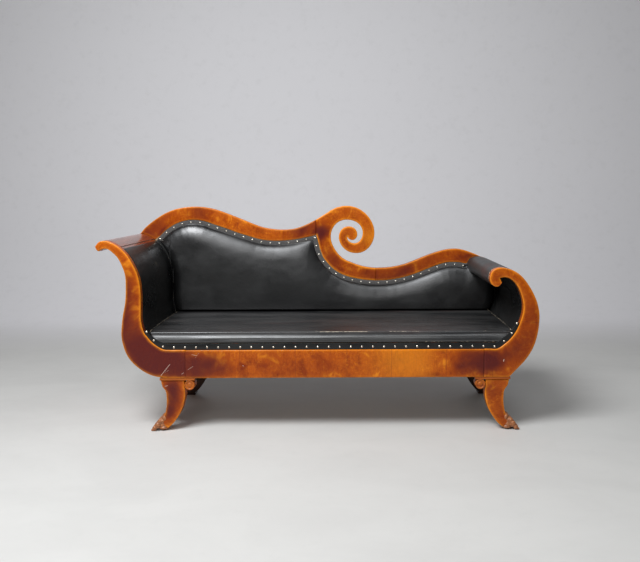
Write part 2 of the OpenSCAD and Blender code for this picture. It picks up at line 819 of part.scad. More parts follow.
module upright_stub(x, low_line, grow) {
    y0 = (back_y0 + back_y1 - tenon_t) / 2;
    z = lookup(x, low_line);
    block(x - upright_w / 4 - grow, x + upright_w / 4 + grow, y0 - grow,
        y0 + tenon_t + grow, z - upright_w / 2, z + stub_l + grow);
}
module upright(x, low_line) {
    z0 = back_low_z + back_bar_h;
    board(back_y0, back_y1) difference() {
        translate([x - upright_w / 2, z0])
            square([upright_w, lookup(x, low_line) + crest_w / 3 - z0]);
        band(left_top, left_low);
        volute_outline();
    }
    bottom_stub(x, 0);
    upright_stub(x, low_line, 0);
}
module back_upright_left() {
    color("burlywood") upright(upright_left_x, left_low);
}
module back_upright_right() {
    color("burlywood") upright(upright_right_x, back_to_front(volute_low));
}

// Opening of the rear frame, from a height z up to the crest
open_left_counts = [6, 17];
open_right_counts = [7, 20];
open_crest_count = 2;
function middle(outer, inner, turns) =
    [for (i = [turns[0] * curve_steps : turns[1] * curve_steps]) (outer[i] + inner[i]) / 2];
module back_opening(z) {
    difference() {
        intersection() {
            polygon(concat(
                back_to_front(middle(left_outer, left_inner, open_left_counts)),
                part_of(left_low, open_crest_count * curve_steps, len(left_low) - 1),
                back_to_front(volute_low),
                right_low,
                middle(right_outer, right_inner, open_right_counts)));
            translate([-half_w, z]) square([sofa_w, back_h - z]);
        }
        left_outline();
        right_outline();
    }
}
module back_hessian() {
    color("tan") board(back_y0 - hessian_t, back_y0) back_opening(back_low_z);
}
module back_cover() {
    color("dimgray") board(back_y1, back_y1 + back_cover_t) back_opening(rail_top);
}

// Webbing and hessian under the seat
ledge_y = front_y + ledge_in;
web_in = 4;
module strips_across(count, x0, x1) {
    for (i = [1 : count])
        block(x0 + (x1 - x0) * i / (count + 1) - web_w / 2,
            x0 + (x1 - x0) * i / (count + 1) + web_w / 2,
            ledge_y + web_in, -ledge_y - web_in, web_z, web_z + web_t);
}
module strips_along(count, y0, y1) {
    for (i = [1 : count])
        block(left_side_x - side_rail_w / 2, right_side_x + side_rail_w / 2,
            y0 + (y1 - y0) * i / (count + 1) - web_w / 2,
            y0 + (y1 - y0) * i / (count + 1) + web_w / 2,
            web_z + web_t, web_z + 2 * web_t);
}
module webbing_long() {
    color("khaki") strips_along(long_web_count, inner_y, -inner_y);
}
module webbing_cross() {
    color("darkkhaki") strips_across(cross_web_count, rail_l, rail_r);
}
module seat_hessian() {
    x0 = left_side_x - side_rail_w / 2;
    x1 = right_side_x + side_rail_w / 2;
    color("tan") translate([0, 0, deck_z]) linear_extrude(hessian_t) {
        translate([x0, inner_y]) square([x1 - x0, -2 * inner_y]);
        translate([rail_l, ledge_y + web_in])
            square([rail_r - rail_l, -2 * (ledge_y + web_in)]);
    }
}

// Closed form between a front grid and a back grid of points, both n by m cells
function flat(grid) = [for (row = grid) for (p = row) p];
module padded(front, back) {
    n = len(front) - 1;
    m = len(front[0]) - 1;
    w = m + 1;
    half = (n + 1) * w;
    polyhedron(points = concat(flat(front), flat(back)), faces = concat(
        [for (i = [0 : n - 1]) for (j = [0 : m - 1]) for (k = [0, 1])
            let (a = i * w + j, b = a + 1, c = a + w, d = c + 1)
            k == 0 ? [a, b, d] : [a, d, c]],
        [for (i = [0 : n - 1]) for (j = [0 : m - 1]) for (k = [0, 1])
            let (a = half + i * w + j, b = a + 1, c = a + w, d = c + 1)
            k == 0 ? [a, d, b] : [a, c, d]],
        [for (i = [0 : n - 1]) for (j = [0, m]) for (k = [0, 1])
            let (a = i * w + j, c = a + w, e = half + a, g = half + c)
            j == 0 ? (k == 0 ? [a, c, g] : [a, g, e]) : (k == 0 ? [a, g, c] : [a, e, g])],
        [for (i = [0, n]) for (j = [0 : m - 1]) for (k = [0, 1])
            let (a = i * w + j, b = a + 1, e = half + a, f = half + b)
            i == 0 ? (k == 0 ? [a, f, b] : [a, e, f]) : (k == 0 ? [a, b, f] : [a, f, e])]));
}
// Rise of a stuffed edge: nothing at the edge, all at a distance d = w from it
function swell(d, w) = let (u = min(max(d / w, 0), 1)) sqrt(1 - (1 - u) * (1 - u));

// Seat pad: a crowned top, a rolled front lip, and ends that follow the arms
// Section from front to back: place along the depth, and height, where 1 is the lip and 2 the crown
seat_section_shares = [[0, .42], [.003, .67], [.012, .85], [.03, .96], [.0556, .99], [.06, 1],
    [.14, 1.49], [.3, 1.89], [.45, 2], [.62, 2], [.78, 1.83], [.9, 1.43], [.965, 1],
    [.99, .85], [1, .48]];
seat_station_shares = [0, .004, .012, .025, .045, .07, .1, .15, .2, .26, .32, .38, .44, .5,
    .56, .62, .68, .74, .8, .85, .9, .93, .955, .975, .988, .996, 1];
seat_roll_share = .05;
seat_draw_share = .22;
seat_end_gap = 2;
seat_front_y = ledge_y - gimp_t;
seat_rear_y = -inner_y - soft_gap;
lip_share = 1 - seat_fall / (seat_h - pad_z);
ledge_turn_count = 16;
left_ledge_line = flipped(back_to_front(part_of(beside(seat_line_left, ledge_h), 0,
    ledge_turn_count)));
right_ledge_line = flipped(part_of(beside(seat_line_right, ledge_h),
    len(seat_line_right) - ledge_turn_count, len(seat_line_right) - 1));
function seat_x(z, s, y) =
    let (front = y < inner_y + soft_gap,
        l = seat_end_gap + (front ? lookup(z, left_ledge_line)
            : lookup(z, flipped_left) + left_crown),
        r = -seat_end_gap + (front ? lookup(z, right_ledge_line)
            : lookup(z, flipped_right) - right_crown))
    l + s * (r - l);
function seat_end(s) = swell(min(s, 1 - s), seat_roll_share);
function seat_rise_share(q) = q <= 1 ? q * lip_share : lip_share + (q - 1) * (1 - lip_share);
function seat_high(s, q) =
    pad_z + (seat_h - pad_z) * seat_rise_share(q) * (1 - seat_draw_share * (1 - seat_end(s)));
function seat_y(q) = seat_front_y + q * (seat_rear_y - seat_front_y);
module seat_pad() {
    color("#26272b") padded(
        [for (s = seat_station_shares) [for (q = seat_section_shares)
            let (z = seat_high(s, q[1]), y = seat_y(q[0])) [seat_x(z, s, y), y, z]]],
        [for (s = seat_station_shares) [for (q = seat_section_shares)
            [seat_x(pad_z, s, seat_y(q[0])), seat_y(q[0]), pad_z]]]);
}

// Back pad: a crowned form that fills the frame from the seat up to the crest
board_end_count = 21;
pad_low_count = 12;
left_side_path = back_to_front(beside(part_of(left_inner, board_end_count,
    left_turn_count * curve_steps - 2), left_crown + back_pad_gap));
pad_left = concat([[lookup(back_z, flipped_left) + left_crown + back_pad_gap, back_z]],
    left_side_path);
// Right side of the back pad: up the arm's inner curve, then under and round its nose
pad_side_shares = [.052, .126, .236, .365, .495];
pad_side_fit = 1.5;
pad_side = [for (s = pad_side_shares) let (z = back_z + s * (right_arm_h - back_z))
    [lookup(z, flipped_right) - right_crown - back_pad_gap - pad_side_fit, z]];
pad_nose_shares = [[.62, .765], [.54, .799], [.362, .805], [.17, .805], [.03, .809],
    [.03, .866]];
low_end_count = 39;
pad_top_end = right_low[low_end_count] - [0, back_pad_fit];
pad_right = concat(
    [[lookup(back_z, flipped_right) - right_crown - back_pad_gap, back_z]],
    pad_side,
    on_box(rail_r, half_w, leg_h, right_arm_h, pad_nose_shares),
    [pad_top_end]);
crest_edge = concat(part_of(left_low, pad_low_count, len(left_low) - 2),
    back_to_front(volute_low), part_of(right_low, 1, low_end_count));
pad_top = concat([pad_left[len(pad_left) - 1]],
    part_of(beside(crest_edge, -back_pad_fit), 2, len(crest_edge) - 2), [pad_top_end]);
pad_base = [pad_left[0], pad_right[0]];
back_cell_count = 38;
row_shares = [0, .05, .12, .22, .34, .46, .58, .68, .76, .83, .89, .945, 1];
back_row_count = len(row_shares) - 1;
crown_in_share = 3.8;
back_swell = 70;
back_base_swell = 45;
function coons(s, t, base, top, left, right, corners) =
    (1 - t) * base + t * top + (1 - s) * left + s * right
        - (1 - s) * (1 - t) * corners[0] - s * (1 - t) * corners[1]
        - (1 - s) * t * corners[2] - s * t * corners[3];
back_tops = evenly(pad_top, back_cell_count);
back_bases = evenly(pad_base, back_cell_count);
left_length = length_of(pad_left);
back_lefts = [for (t = row_shares) place(pad_left, t * left_length)];
back_corners = [pad_left[0], pad_right[0], pad_top[0], pad_top_end];
back_grid = [for (i = [0 : back_cell_count]) [for (j = [0 : back_row_count])
    coons(i / back_cell_count, row_shares[j], back_bases[i], back_tops[i], back_lefts[j],
        pad_right[j], back_corners)]];
// Distance of the point p from the line through the points of the list q
function off_piece(p, a, b) =
    let (t = min(max((p - a) * (b - a) / ((b - a) * (b - a)), 0), 1)) norm(p - a - t * (b - a));
function off_line(p, q) = min([for (i = [0 : len(q) - 2]) off_piece(p, q[i], q[i + 1])]);
function back_rise(i, j) =
    let (p = back_grid[i][j])
    swell(off_line(p, back_tops) - crown_in_share * gimp_w, back_swell)
        * swell(norm(p - back_bases[i]), back_base_swell)
        * swell(off_line(p, back_lefts), back_swell)
        * swell(off_line(p, pad_right), back_swell);
module back_pad() {
    rear = -inner_y - soft_gap;
    color("#17181b") padded(
        [for (i = [0 : back_cell_count]) [for (j = [0 : back_row_count])
            let (p = back_grid[i][j]) [p[0], back_edge_y - back_crown * back_rise(i, j), p[1]]]],
        [for (i = [0 : back_cell_count]) [for (j = [0 : back_row_count])
            let (p = back_grid[i][j]) [p[0], rear, p[1]]]]);
}

// Gimp strips and domed nails
module gimp(line, y) {
    board(y - gimp_t, y) band(line, beside(line, gimp_w));
}
nail_inset = 6;
function nail_row(line, pitch) =
    let (all = length_of(line) - 2 * nail_inset, n = max(round(all / pitch), 1))
    [for (i = [0 : n]) place(line, nail_inset + all * i / n)];
module nail(r) {
    rise = nail_dome * r / nail_r;
    ball = (r * r + rise * rise) / (2 * rise);
    intersection() {
        translate([0, 0, rise - ball]) sphere(r = ball);
        cylinder(r = r + over, h = rise + over);
    }
    translate([0, 0, -gimp_t]) cylinder(r = shank_r, h = gimp_t);
}
module nails_facing_front(points, y) {
    for (p = points) translate([p[0], y, p[1]]) rotate([90, 0, 0]) nail(nail_r);
}
module nail_holes(points, y) {
    for (p = points)
        translate([p[0], y, p[1]]) rotate([-90, 0, 0])
            translate([0, 0, -over]) cylinder(r = shank_r, h = gimp_t + 2 * over);
}
seat_nail_line = beside(seat_line, gimp_w / 2);
seat_nail_points = nail_row(seat_nail_line, seat_pitch);
seat_nail_y = ledge_y - gimp_t;
gimp_left_line = back_to_front(part_of(left_low, pad_low_count, len(left_low) - 1));
gimp_right_line = back_to_front(concat(back_to_front(volute_low),
    part_of(right_low, 1, low_end_count)));
back_nail_points = concat(nail_row(beside(gimp_left_line, gimp_w / 2), back_pitch),
    nail_row(beside(gimp_right_line, gimp_w / 2), back_pitch));
gimp_y = back_edge_y - soft_gap;
back_nail_y = gimp_y - gimp_t;
module seat_gimp() {
    color("#3a3633") difference() {
        gimp(seat_line, ledge_y);
        nail_holes(seat_nail_points, seat_nail_y);
    }
}
module back_gimp_left() {
    color("#6b5f55") difference() {
        gimp(gimp_left_line, gimp_y);
        nail_holes(back_nail_points, back_nail_y);
    }
}
module back_gimp_right() {
    color("#6b5f55") difference() {
        board(gimp_y - gimp_t, gimp_y) difference() {
            band(gimp_right_line, beside(gimp_right_line, gimp_w));
            band(gimp_left_line, beside(gimp_left_line, gimp_w));
        }
        nail_holes(back_nail_points, back_nail_y);
    }
}
module seat_nails() {
    color("#d9cfb8") nails_facing_front(seat_nail_points, seat_nail_y);
}
module back_nails() {
    color("#d9cfb8") nails_facing_front(back_nail_points, back_nail_y);
}

// Left arm: bars, veneered top board, leather pad and veneered outer panel
module left_scroll_rail() {
    color("burlywood") cross_bar(left_scroll_bar);
}
module left_arm_rail() {
    color("burlywood") cross_bar(left_arm_bar);
}
lip_end_count = 3;
panel_start_count = 4;
panel_end_count = 16;
module arm_board() {
    board(inner_y, -inner_y) children();
}
module left_arm_top_board() {
    top = part_of(left_inner, 0, board_end_count);
    under = beside(part_of(left_inner, lip_end_count * curve_steps + 2, board_end_count), -board_t);
    color("chocolate") difference() {
        arm_board() difference() {
            polygon(concat(top, back_to_front(under),
                back_to_front(part_of(left_outer, 0, lip_end_count * curve_steps))));
            left_pad_profile();
        }
        arm_nails(true);
    }
}
module left_arm_outer_panel() {
    line = part_of(left_outer, panel_start_count * curve_steps + 2, panel_end_count * curve_steps);
    color("sienna") arm_board() band(line, beside(line, cover_t));
}
nail_back_count = 1;
module arm_nails(holes) {
    at = left_inner[board_end_count - nail_back_count];
    way = side(left_inner, board_end_count - nail_back_count);
    n = floor(2 * (-inner_y - small_nail_r) / arm_pitch);
    for (i = [0 : n])
        translate([at[0], inner_y + small_nail_r * 2 + i * arm_pitch, at[1]])
            rotate([0, 90 - atan2(way[1], way[0]), 0])
                if (holes)
                    translate([0, 0, -gimp_t]) cylinder(r = shank_r, h = gimp_t + over);
                else nail(small_nail_r);
}
module left_arm_nails() {
    color("#4a4238") arm_nails(false);
}
arm_cell_count = 20;
arm_row_shares = [0, .02, .06, .12, .3, .5, .7, .88, .94, .98, 1];
arm_swell = 50;
module arm_pad(line, proud, deep) {
    all = length_of(line);
    pts = evenly(line, arm_cell_count);
    y0 = inner_y + soft_gap;
    y1 = -inner_y - soft_gap;
    function rise(i, q) = proud * swell(min(i, arm_cell_count - i) * all / arm_cell_count, arm_swell)
        * swell(min(q, 1 - q) * (y1 - y0), arm_swell);
    front = [for (i = [0 : arm_cell_count]) [for (q = arm_row_shares)
        let (p = pts[i] + rise(i, q) * side(pts, i)) [p[0], y0 + q * (y1 - y0), p[1]]]];
    back = [for (i = [0 : arm_cell_count]) [for (q = arm_row_shares)
        let (p = pts[i] - deep * side(pts, i)) [p[0], y0 + q * (y1 - y0), p[1]]]];
    if (proud > 0) padded(front, back);
    else padded(back, front);
}
arm_foot_gap = 3;
arm_foot_z = ledge_top + web_t + arm_pad_t + arm_foot_gap;
// The part of the line p above the foot of the arm pads, and its end at that foot
function above_foot(p, flip) = concat([for (q = p) if (q[1] > arm_foot_z + over) q],
    [[lookup(arm_foot_z, flip), arm_foot_z]]);
left_pad_line = above_foot(part_of(left_inner, board_end_count, len(left_inner) - 1), flipped_left);
module left_pad_profile() {
    pts = evenly(left_pad_line, arm_cell_count);
    band(beside(pts, board_t), beside(pts, -arm_pad_t));
}
module left_arm_pad() {
    color("#17181b") arm_pad(left_pad_line, left_crown, arm_pad_t);
}

// Right arm: bars, leather roll over the in-scroll, inner pad and outer cover
module eye_bar(grow) {
    translate([right_eye[0], -inner_y + stub_l + grow, right_eye[1]])
        rotate([90, 0, 0]) cylinder(r = eye_bar_r + grow, h = 2 * (-inner_y + stub_l + grow));
}
module right_scroll_rail() {
    color("burlywood") eye_bar(0);
}
module right_arm_rail() {
    color("burlywood") cross_bar(right_arm_bar);
}
roll_end_count = 9;
cover_end_count = 20;
module roll_profile() {
    band(part_of(right_outer, 0, roll_end_count * curve_steps),
        part_of(right_inner, 0, roll_end_count * curve_steps));
}
module right_arm_roll() {
    color("#1b1a1c") difference() {
        arm_board() roll_profile();
        eye_bar(0);
    }
}
module right_arm_pad() {
    line = part_of(right_inner, roll_end_count * curve_steps + 1, len(right_inner) - 1);
    color("#17181b") arm_pad(above_foot(line, flipped_right), -right_crown, -arm_pad_t);
}
module right_arm_outer_cover() {
    line = part_of(right_outer, roll_end_count * curve_steps, cover_end_count * curve_steps);
    color("#1b1a1c") arm_board() difference() {
        band(line, beside(line, -cover_t));
        roll_profile();
    }
}

front_rail();
rear_rail();
left_side_rail();
right_side_rail();
front_left_post();
front_right_post();
rear_left_post();
rear_right_post();
seat_crossbar_left();
seat_crossbar_middle();
seat_crossbar_right();
front_left_leg();
front_right_leg();
rear_left_leg();
rear_right_leg();
front_left_leg_plate();
front_right_leg_plate();
front_left_roundel();
front_right_roundel();
front_left_paw();
front_right_paw();
leg_dowels();
front_left_corner_block();
front_right_corner_block();
rear_left_corner_block();
rear_right_corner_block();
corner_block_screws();
rail_pegs();
crest_left();
crest_volute();
crest_right();
crest_dowels();
back_bottom_rail();
back_upright_left();
back_upright_right();
back_cover();
back_hessian();
back_pad();
back_gimp_left();
back_gimp_right();
back_nails();
webbing_long();
webbing_cross();
seat_hessian();
seat_pad();
seat_gimp();
seat_nails();
left_scroll_rail();
left_arm_rail();
left_arm_pad();
left_arm_top_board();
left_arm_outer_panel();
left_arm_nails();
right_scroll_rail();
right_arm_rail();
right_arm_pad();
right_arm_roll();
right_arm_outer_cover();
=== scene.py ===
import math

import bpy
import bmesh
import numpy as np
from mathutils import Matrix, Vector, noise


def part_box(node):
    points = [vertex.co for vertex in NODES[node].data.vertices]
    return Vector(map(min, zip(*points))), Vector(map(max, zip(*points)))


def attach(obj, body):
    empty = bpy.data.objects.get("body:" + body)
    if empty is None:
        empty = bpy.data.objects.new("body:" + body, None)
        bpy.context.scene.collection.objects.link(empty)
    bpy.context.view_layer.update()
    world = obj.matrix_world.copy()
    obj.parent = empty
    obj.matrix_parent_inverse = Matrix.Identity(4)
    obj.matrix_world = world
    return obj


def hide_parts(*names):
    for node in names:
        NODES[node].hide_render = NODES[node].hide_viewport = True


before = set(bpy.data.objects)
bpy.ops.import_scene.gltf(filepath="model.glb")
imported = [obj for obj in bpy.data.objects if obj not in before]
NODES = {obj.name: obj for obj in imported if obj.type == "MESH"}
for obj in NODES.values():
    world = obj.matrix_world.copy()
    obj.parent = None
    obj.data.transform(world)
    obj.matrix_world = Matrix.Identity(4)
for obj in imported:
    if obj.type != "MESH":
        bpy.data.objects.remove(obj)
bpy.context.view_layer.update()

# Main places, in metres, read from the frame
FRONT, POST_BACK = (corner.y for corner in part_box("front_rail"))
REAR_FRONT, REAR = -POST_BACK, -FRONT
RAIL_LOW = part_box("front_rail")[0].z
GIMP_FACE, RAIL_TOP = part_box("seat_gimp")[0].yz
SEAT_LOW, SEAT_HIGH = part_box("seat_pad")
VOLUTE_CENTRE = (0.140, 0.815)


# Lines of points

def lengths(line):
    """Distance of each point of a line from its start, along the line."""
    return np.concatenate([[0], np.cumsum(np.linalg.norm(np.diff(line, axis=0), axis=1))])


def picked(at, run, line):
    """Places on a line at some runs, where run holds the runs of its own points."""
    return np.stack([np.interp(at, run, line[:, k]) for k in range(line.shape[1])], axis=1)


def resampled(line, count):
    """The line again, with count evenly spaced points."""
    line = np.asarray(line, float)
    run = lengths(line)
    return picked(np.linspace(0, run[-1], count), run, line)


def smoothed(line, passes):
    line = np.asarray(line, float).copy()
    for _ in range(passes):
        line[1:-1] = (line[:-2] + 2 * line[1:-1] + line[2:]) / 4
    return line


def normals(line):
    """Unit normals of a 2D line, to the left of its direction."""
    d = np.gradient(line, axis=0)
    d /= np.maximum(np.linalg.norm(d, axis=1, keepdims=True), 1e-9)
    return np.stack([-d[:, 1], d[:, 0]], axis=1)


def off_lines(points, line):
    """Distance of each 2D point from a line."""
    a, b = line[:-1], line[1:]
    d = b - a
    share = ((points[:, None] - a) * d).sum(2) / np.maximum((d * d).sum(1), 1e-12)
    near = a + np.clip(share, 0, 1)[..., None] * d
    return np.linalg.norm(points[:, None] - near, axis=2).min(1)


def swell(distance, width):
    """Rise of a stuffed edge: 0 at the edge, 1 from width on."""
    u = np.clip(np.asarray(distance, float) / width, 0, 1)
    return np.sqrt(np.clip(1 - (1 - u) ** 2, 0, 1))


def dome(distance, width):
    """A flatter rise than swell: 0 at the edge, 1 from width on."""
    u = np.clip(np.asarray(distance, float) / width, 0, 1)
    return u * (2 - u)


def wrinkle(x, y, z, size, seed=0.0):
    """Smooth noise from -1 to 1 at places, in waves of about size metres along each axis."""
    places = np.broadcast_arrays(np.divide(x, size[0]) + seed, np.divide(y, size[1]),
                                 np.divide(z, size[2]))
    found = [noise.noise(Vector(place)) for place in zip(*(p.ravel() for p in places))]
    return np.reshape(found, places[0].shape)


def crowded(low, high, count):
    """Places from low to high, closer together at both ends."""
    return (low + high) / 2 - (high - low) / 2 * np.cos(np.linspace(0, math.pi, count))


def standing(flat, y):
    """Points of x and z, placed at y."""
    return np.stack(np.broadcast_arrays(flat[..., 0], y, flat[..., 1]), axis=-1)


def face_loop(node, front=True):
    """Outline in x and z of a CAD node's flat front or back face, as one closed loop."""
    mesh = NODES[node].data
    co = np.array([v.co for v in mesh.vertices])
    y = co[:, 1].min() if front else co[:, 1].max()
    keys = [(round(c[0], 5), round(c[2], 5)) for c in co]
    flat = np.abs(co[:, 1] - y) < 1e-5
    edges = {}  # in the order of the faces, which decides where the loop starts
    for face in mesh.polygons:
        if all(flat[v] for v in face.vertices):
            ring = [keys[v] for v in face.vertices]
            edges.update(dict.fromkeys(zip(ring, ring[1:] + ring[:1])))
    after = {a: b for a, b in edges if (b, a) not in edges and a != b}
    loops = []
    while after:
        start, here = next(iter(after.items()))
        del after[start]
        loop = [start]
        while here != start and here in after:
            loop.append(here)
            here = after.pop(here)
        loops.append(np.array(loop))
    return max(loops, key=lambda p: lengths(p)[-1])


def nearest(loop, place):
    return int(np.linalg.norm(loop - np.array(place), axis=1).argmin())


def two_edges(loop, corner_a, corner_b, end_a, end_b=None):
    """The two paths of a loop from its corners a and b to their ends, or to one tip."""
    a, b, end_a = (nearest(loop, p) for p in (corner_a, corner_b, end_a))
    end_b = end_a if end_b is None else nearest(loop, end_b)
    count = len(loop)

    def path(start, end, avoid):
        for step in (1, -1):
            ids = [start]
            while ids[-1] != end:
                ids.append((ids[-1] + step) % count)
            if avoid not in ids:
                return loop[ids]
        return loop[[start, end]]

    return path(a, end_a, b), path(b, end_b, a)


PAIR_POINTS = 240
TIP_GAP = 0.004
TIP_RUN = 0.036
TIP_SECTIONS = 22


def paired(a, b, spacing):
    """Points of two edges, paired straight across the band between them.

    Where the edges meet in a tip, the last of the run has closer sections.
    """
    count = PAIR_POINTS
    a, b = resampled(a, count), resampled(b, count)
    cost = np.linalg.norm(a[:, None] - b[None], axis=2)
    total = np.full((count + 1, count + 1), np.inf)
    total[0, 0] = 0
    for i in range(count):
        for j in range(count):
            before = min(total[i, j + 1], total[i + 1, j], total[i, j])
            total[i + 1, j + 1] = cost[i, j] + before
    i = j = count
    steps = [(i, j)]
    while (i, j) != (1, 1):
        i, j = min(((i - 1, j - 1), (i - 1, j), (i, j - 1)), key=lambda step: total[step])
        steps.append((i, j))
    steps = smoothed(np.array(steps[::-1], float) - 1, 30)
    index = np.arange(count)
    a, b = picked(steps[:, 0], index, a), picked(steps[:, 1], index, b)
    run = (lengths(a) + lengths(b)) / 2
    at = np.linspace(0, run[-1], max(int(run[-1] / spacing), 2) + 1)
    if cost[-1, -1] < TIP_GAP:
        tip = TIP_RUN * np.linspace(1, 0, TIP_SECTIONS) ** 1.4
        at = np.concatenate([at[at < run[-1] - TIP_RUN - 0.002], run[-1] - tip])
    return picked(at, run, a), picked(at, run, b)


# Meshes

def linked(name, data):
    """A new object in the scene."""
    obj = bpy.data.objects.new(name, data)
    bpy.context.scene.collection.objects.link(obj)
    return obj


def mark(mesh, name, values):
    """Gives each point of a mesh a number, which the materials read by its name."""
    attribute = mesh.attributes.new(name, "FLOAT", "POINT")
    attribute.data.foreach_set("value", np.asarray(values, np.float32).ravel())


def new_object(name, verts, faces, uvs=None, floats=None):
    """A mesh object from points and faces, with a UV pair and named floats for each point."""
    mesh = bpy.data.meshes.new(name)
    mesh.from_pydata(np.asarray(verts, float).tolist(), [], faces)
    if uvs is not None:
        layer = mesh.uv_layers.new(name="grain")
        ids = np.zeros(len(mesh.loops), int)
        mesh.loops.foreach_get("vertex_index", ids)
        layer.data.foreach_set("uv", np.asarray(uvs, np.float32)[ids].ravel())
    for key, values in (floats or {}).items():
        mark(mesh, key, values)
    mesh.validate()
    mesh.shade_smooth()
    return linked(name, mesh)


def outward(obj):
    """Turns the faces of a closed mesh to look outwards."""
    bm = bmesh.new()
    bm.from_mesh(obj.data)
    bmesh.ops.recalc_face_normals(bm, faces=bm.faces)
    bm.to_mesh(obj.data)
    bm.free()
    return obj


def rings_object(name, rings, uvs=None, floats=None):
    """A closed mesh through rings of points, each ring with as many points."""
    ids = np.arange(len(rings) * len(rings[0])).reshape(len(rings), -1)
    here, ahead = ids[:-1], ids[1:]
    quads = np.stack([here, np.roll(here, -1, 1), np.roll(ahead, -1, 1), ahead], axis=-1)
    faces = quads.reshape(-1, 4).tolist() + [ids[0, ::-1].tolist(), ids[-1].tolist()]
    return outward(new_object(name, np.concatenate(rings), faces, uvs, floats))


def closed_pad(name, front, back, uvs=None, floats=None):
    """Closed form between a front grid and a back grid of points of the same size."""
    n, m = front.shape[:2]
    count = n * m
    verts = np.concatenate([front.reshape(-1, 3), back.reshape(-1, 3)])
    ids = np.arange(count).reshape(n, m)
    a, b, c, d = ids[:-1, :-1], ids[:-1, 1:], ids[1:, 1:], ids[1:, :-1]
    quads = [a, b, c, d, a + count, d + count, c + count, b + count]
    rim = np.concatenate([ids[:, 0], ids[-1, 1:], ids[-2::-1, -1], ids[0, -2:0:-1]])
    after = np.roll(rim, -1)
    sides = [rim, rim + count, after + count, after]
    faces = [np.stack(part, axis=-1).reshape(-1, 4) for part in (quads, sides)]
    faces = np.concatenate(faces).tolist()
    doubled = {key: np.tile(np.ravel(values), 2) for key, values in (floats or {}).items()}
    if uvs is not None:
        uvs = np.tile(uvs.reshape(-1, 2), (2, 1))
    return outward(new_object(name, verts, faces, uvs, doubled))


def dress(obj, material):
    """Gives an object or a CAD node its material."""
    obj.data.materials.clear()
    obj.data.materials.append(material)


def finish_piece(obj, material, node=None):
    """Gives a piece its material and slot, in place of a CAD node where one is named."""
    dress(obj, material)
    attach(obj, "root")
    if node:
        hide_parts(node)
    return obj


def stuffed(obj, material, node):
    """A leather piece over stuffing, in place of a CAD node."""
    finish_piece(obj, material, node)


BAND_ROUND = 0.0045
BAND_CROWN = 0.0008
BAND_STEP = 0.007
FACE_SHARES = (0.06, 0.14, 0.24, 0.37, 0.5, 0.63, 0.76, 0.86, 0.94)


def band_section(width, depth, radius):
    """Ring round a board: distance across, depth, and distance from the nearest face edge."""
    r = min(radius, width * 0.4)
    turn = [math.radians(t) for t in (0, 30, 60, 90)]
    half = [(0, depth * 0.5), (0, r * 1.6)]
    half += [(r * (1 - math.cos(t)), r * (1 - math.sin(t))) for t in turn]
    ring = half + [(r + (width - 2 * r) * f, -BAND_CROWN * math.sin(math.pi * f))
                   for f in FACE_SHARES]
    ring += [(width - s, t) for s, t in half[::-1]]
    ring += [(width - s, depth - t) for s, t in half[1:]]
    ring += [(s, depth - t) for s, t in half[:0:-1]]
    return ring, [min(s, width - s) if t < r else t for s, t in ring]


def band(name, a, b, y0, y1, radius=BAND_ROUND, spread=0.0, taper=0.0):
    """A board or strip between two edges in the plane of x and z.

    The strip's second edge may spread further, and taper in over a length at both ends.
    """
    a, b = paired(a, b, BAND_STEP)
    if taper:
        run = lengths((a + b) / 2)
        end = np.clip(np.minimum(run, run[-1] - run) / taper, 0, 1)[:, None]
        b = a + (b - a) * (0.55 + (0.45 + spread) * end)
    run = lengths((a + b) / 2)
    rings, uvs, edges = [], [], []
    for p, q, u in zip(a, b, run):
        apart = float(np.linalg.norm(q - p))
        width, across = max(apart, 0.003), (q - p) / max(apart, 1e-6)
        ring, edge = band_section(width, y1 - y0, radius)
        rings.append([(p[0] + across[0] * s, y0 + t, p[1] + across[1] * s) for s, t in ring])
        uvs += [(u, s - width / 2 + (-t if s < width / 2 else t) * (t > 0)) for s, t in ring]
        edges += edge
    return rings_object(name, rings, uvs, {"edge": edges})


# Shader graphs

class Field:
    """A value over a surface, from one output of a shader node, with sums made by nodes."""

    def __init__(self, graph, socket):
        self.graph, self.socket = graph, socket

    def __add__(self, other):
        return self.graph.math("ADD", self, other)

    def __sub__(self, other):
        return self.graph.math("SUBTRACT", self, other)

    def __mul__(self, other):
        return self.graph.math("MULTIPLY", self, other)

    def __abs__(self):
        return self.graph.math("ABSOLUTE", self)


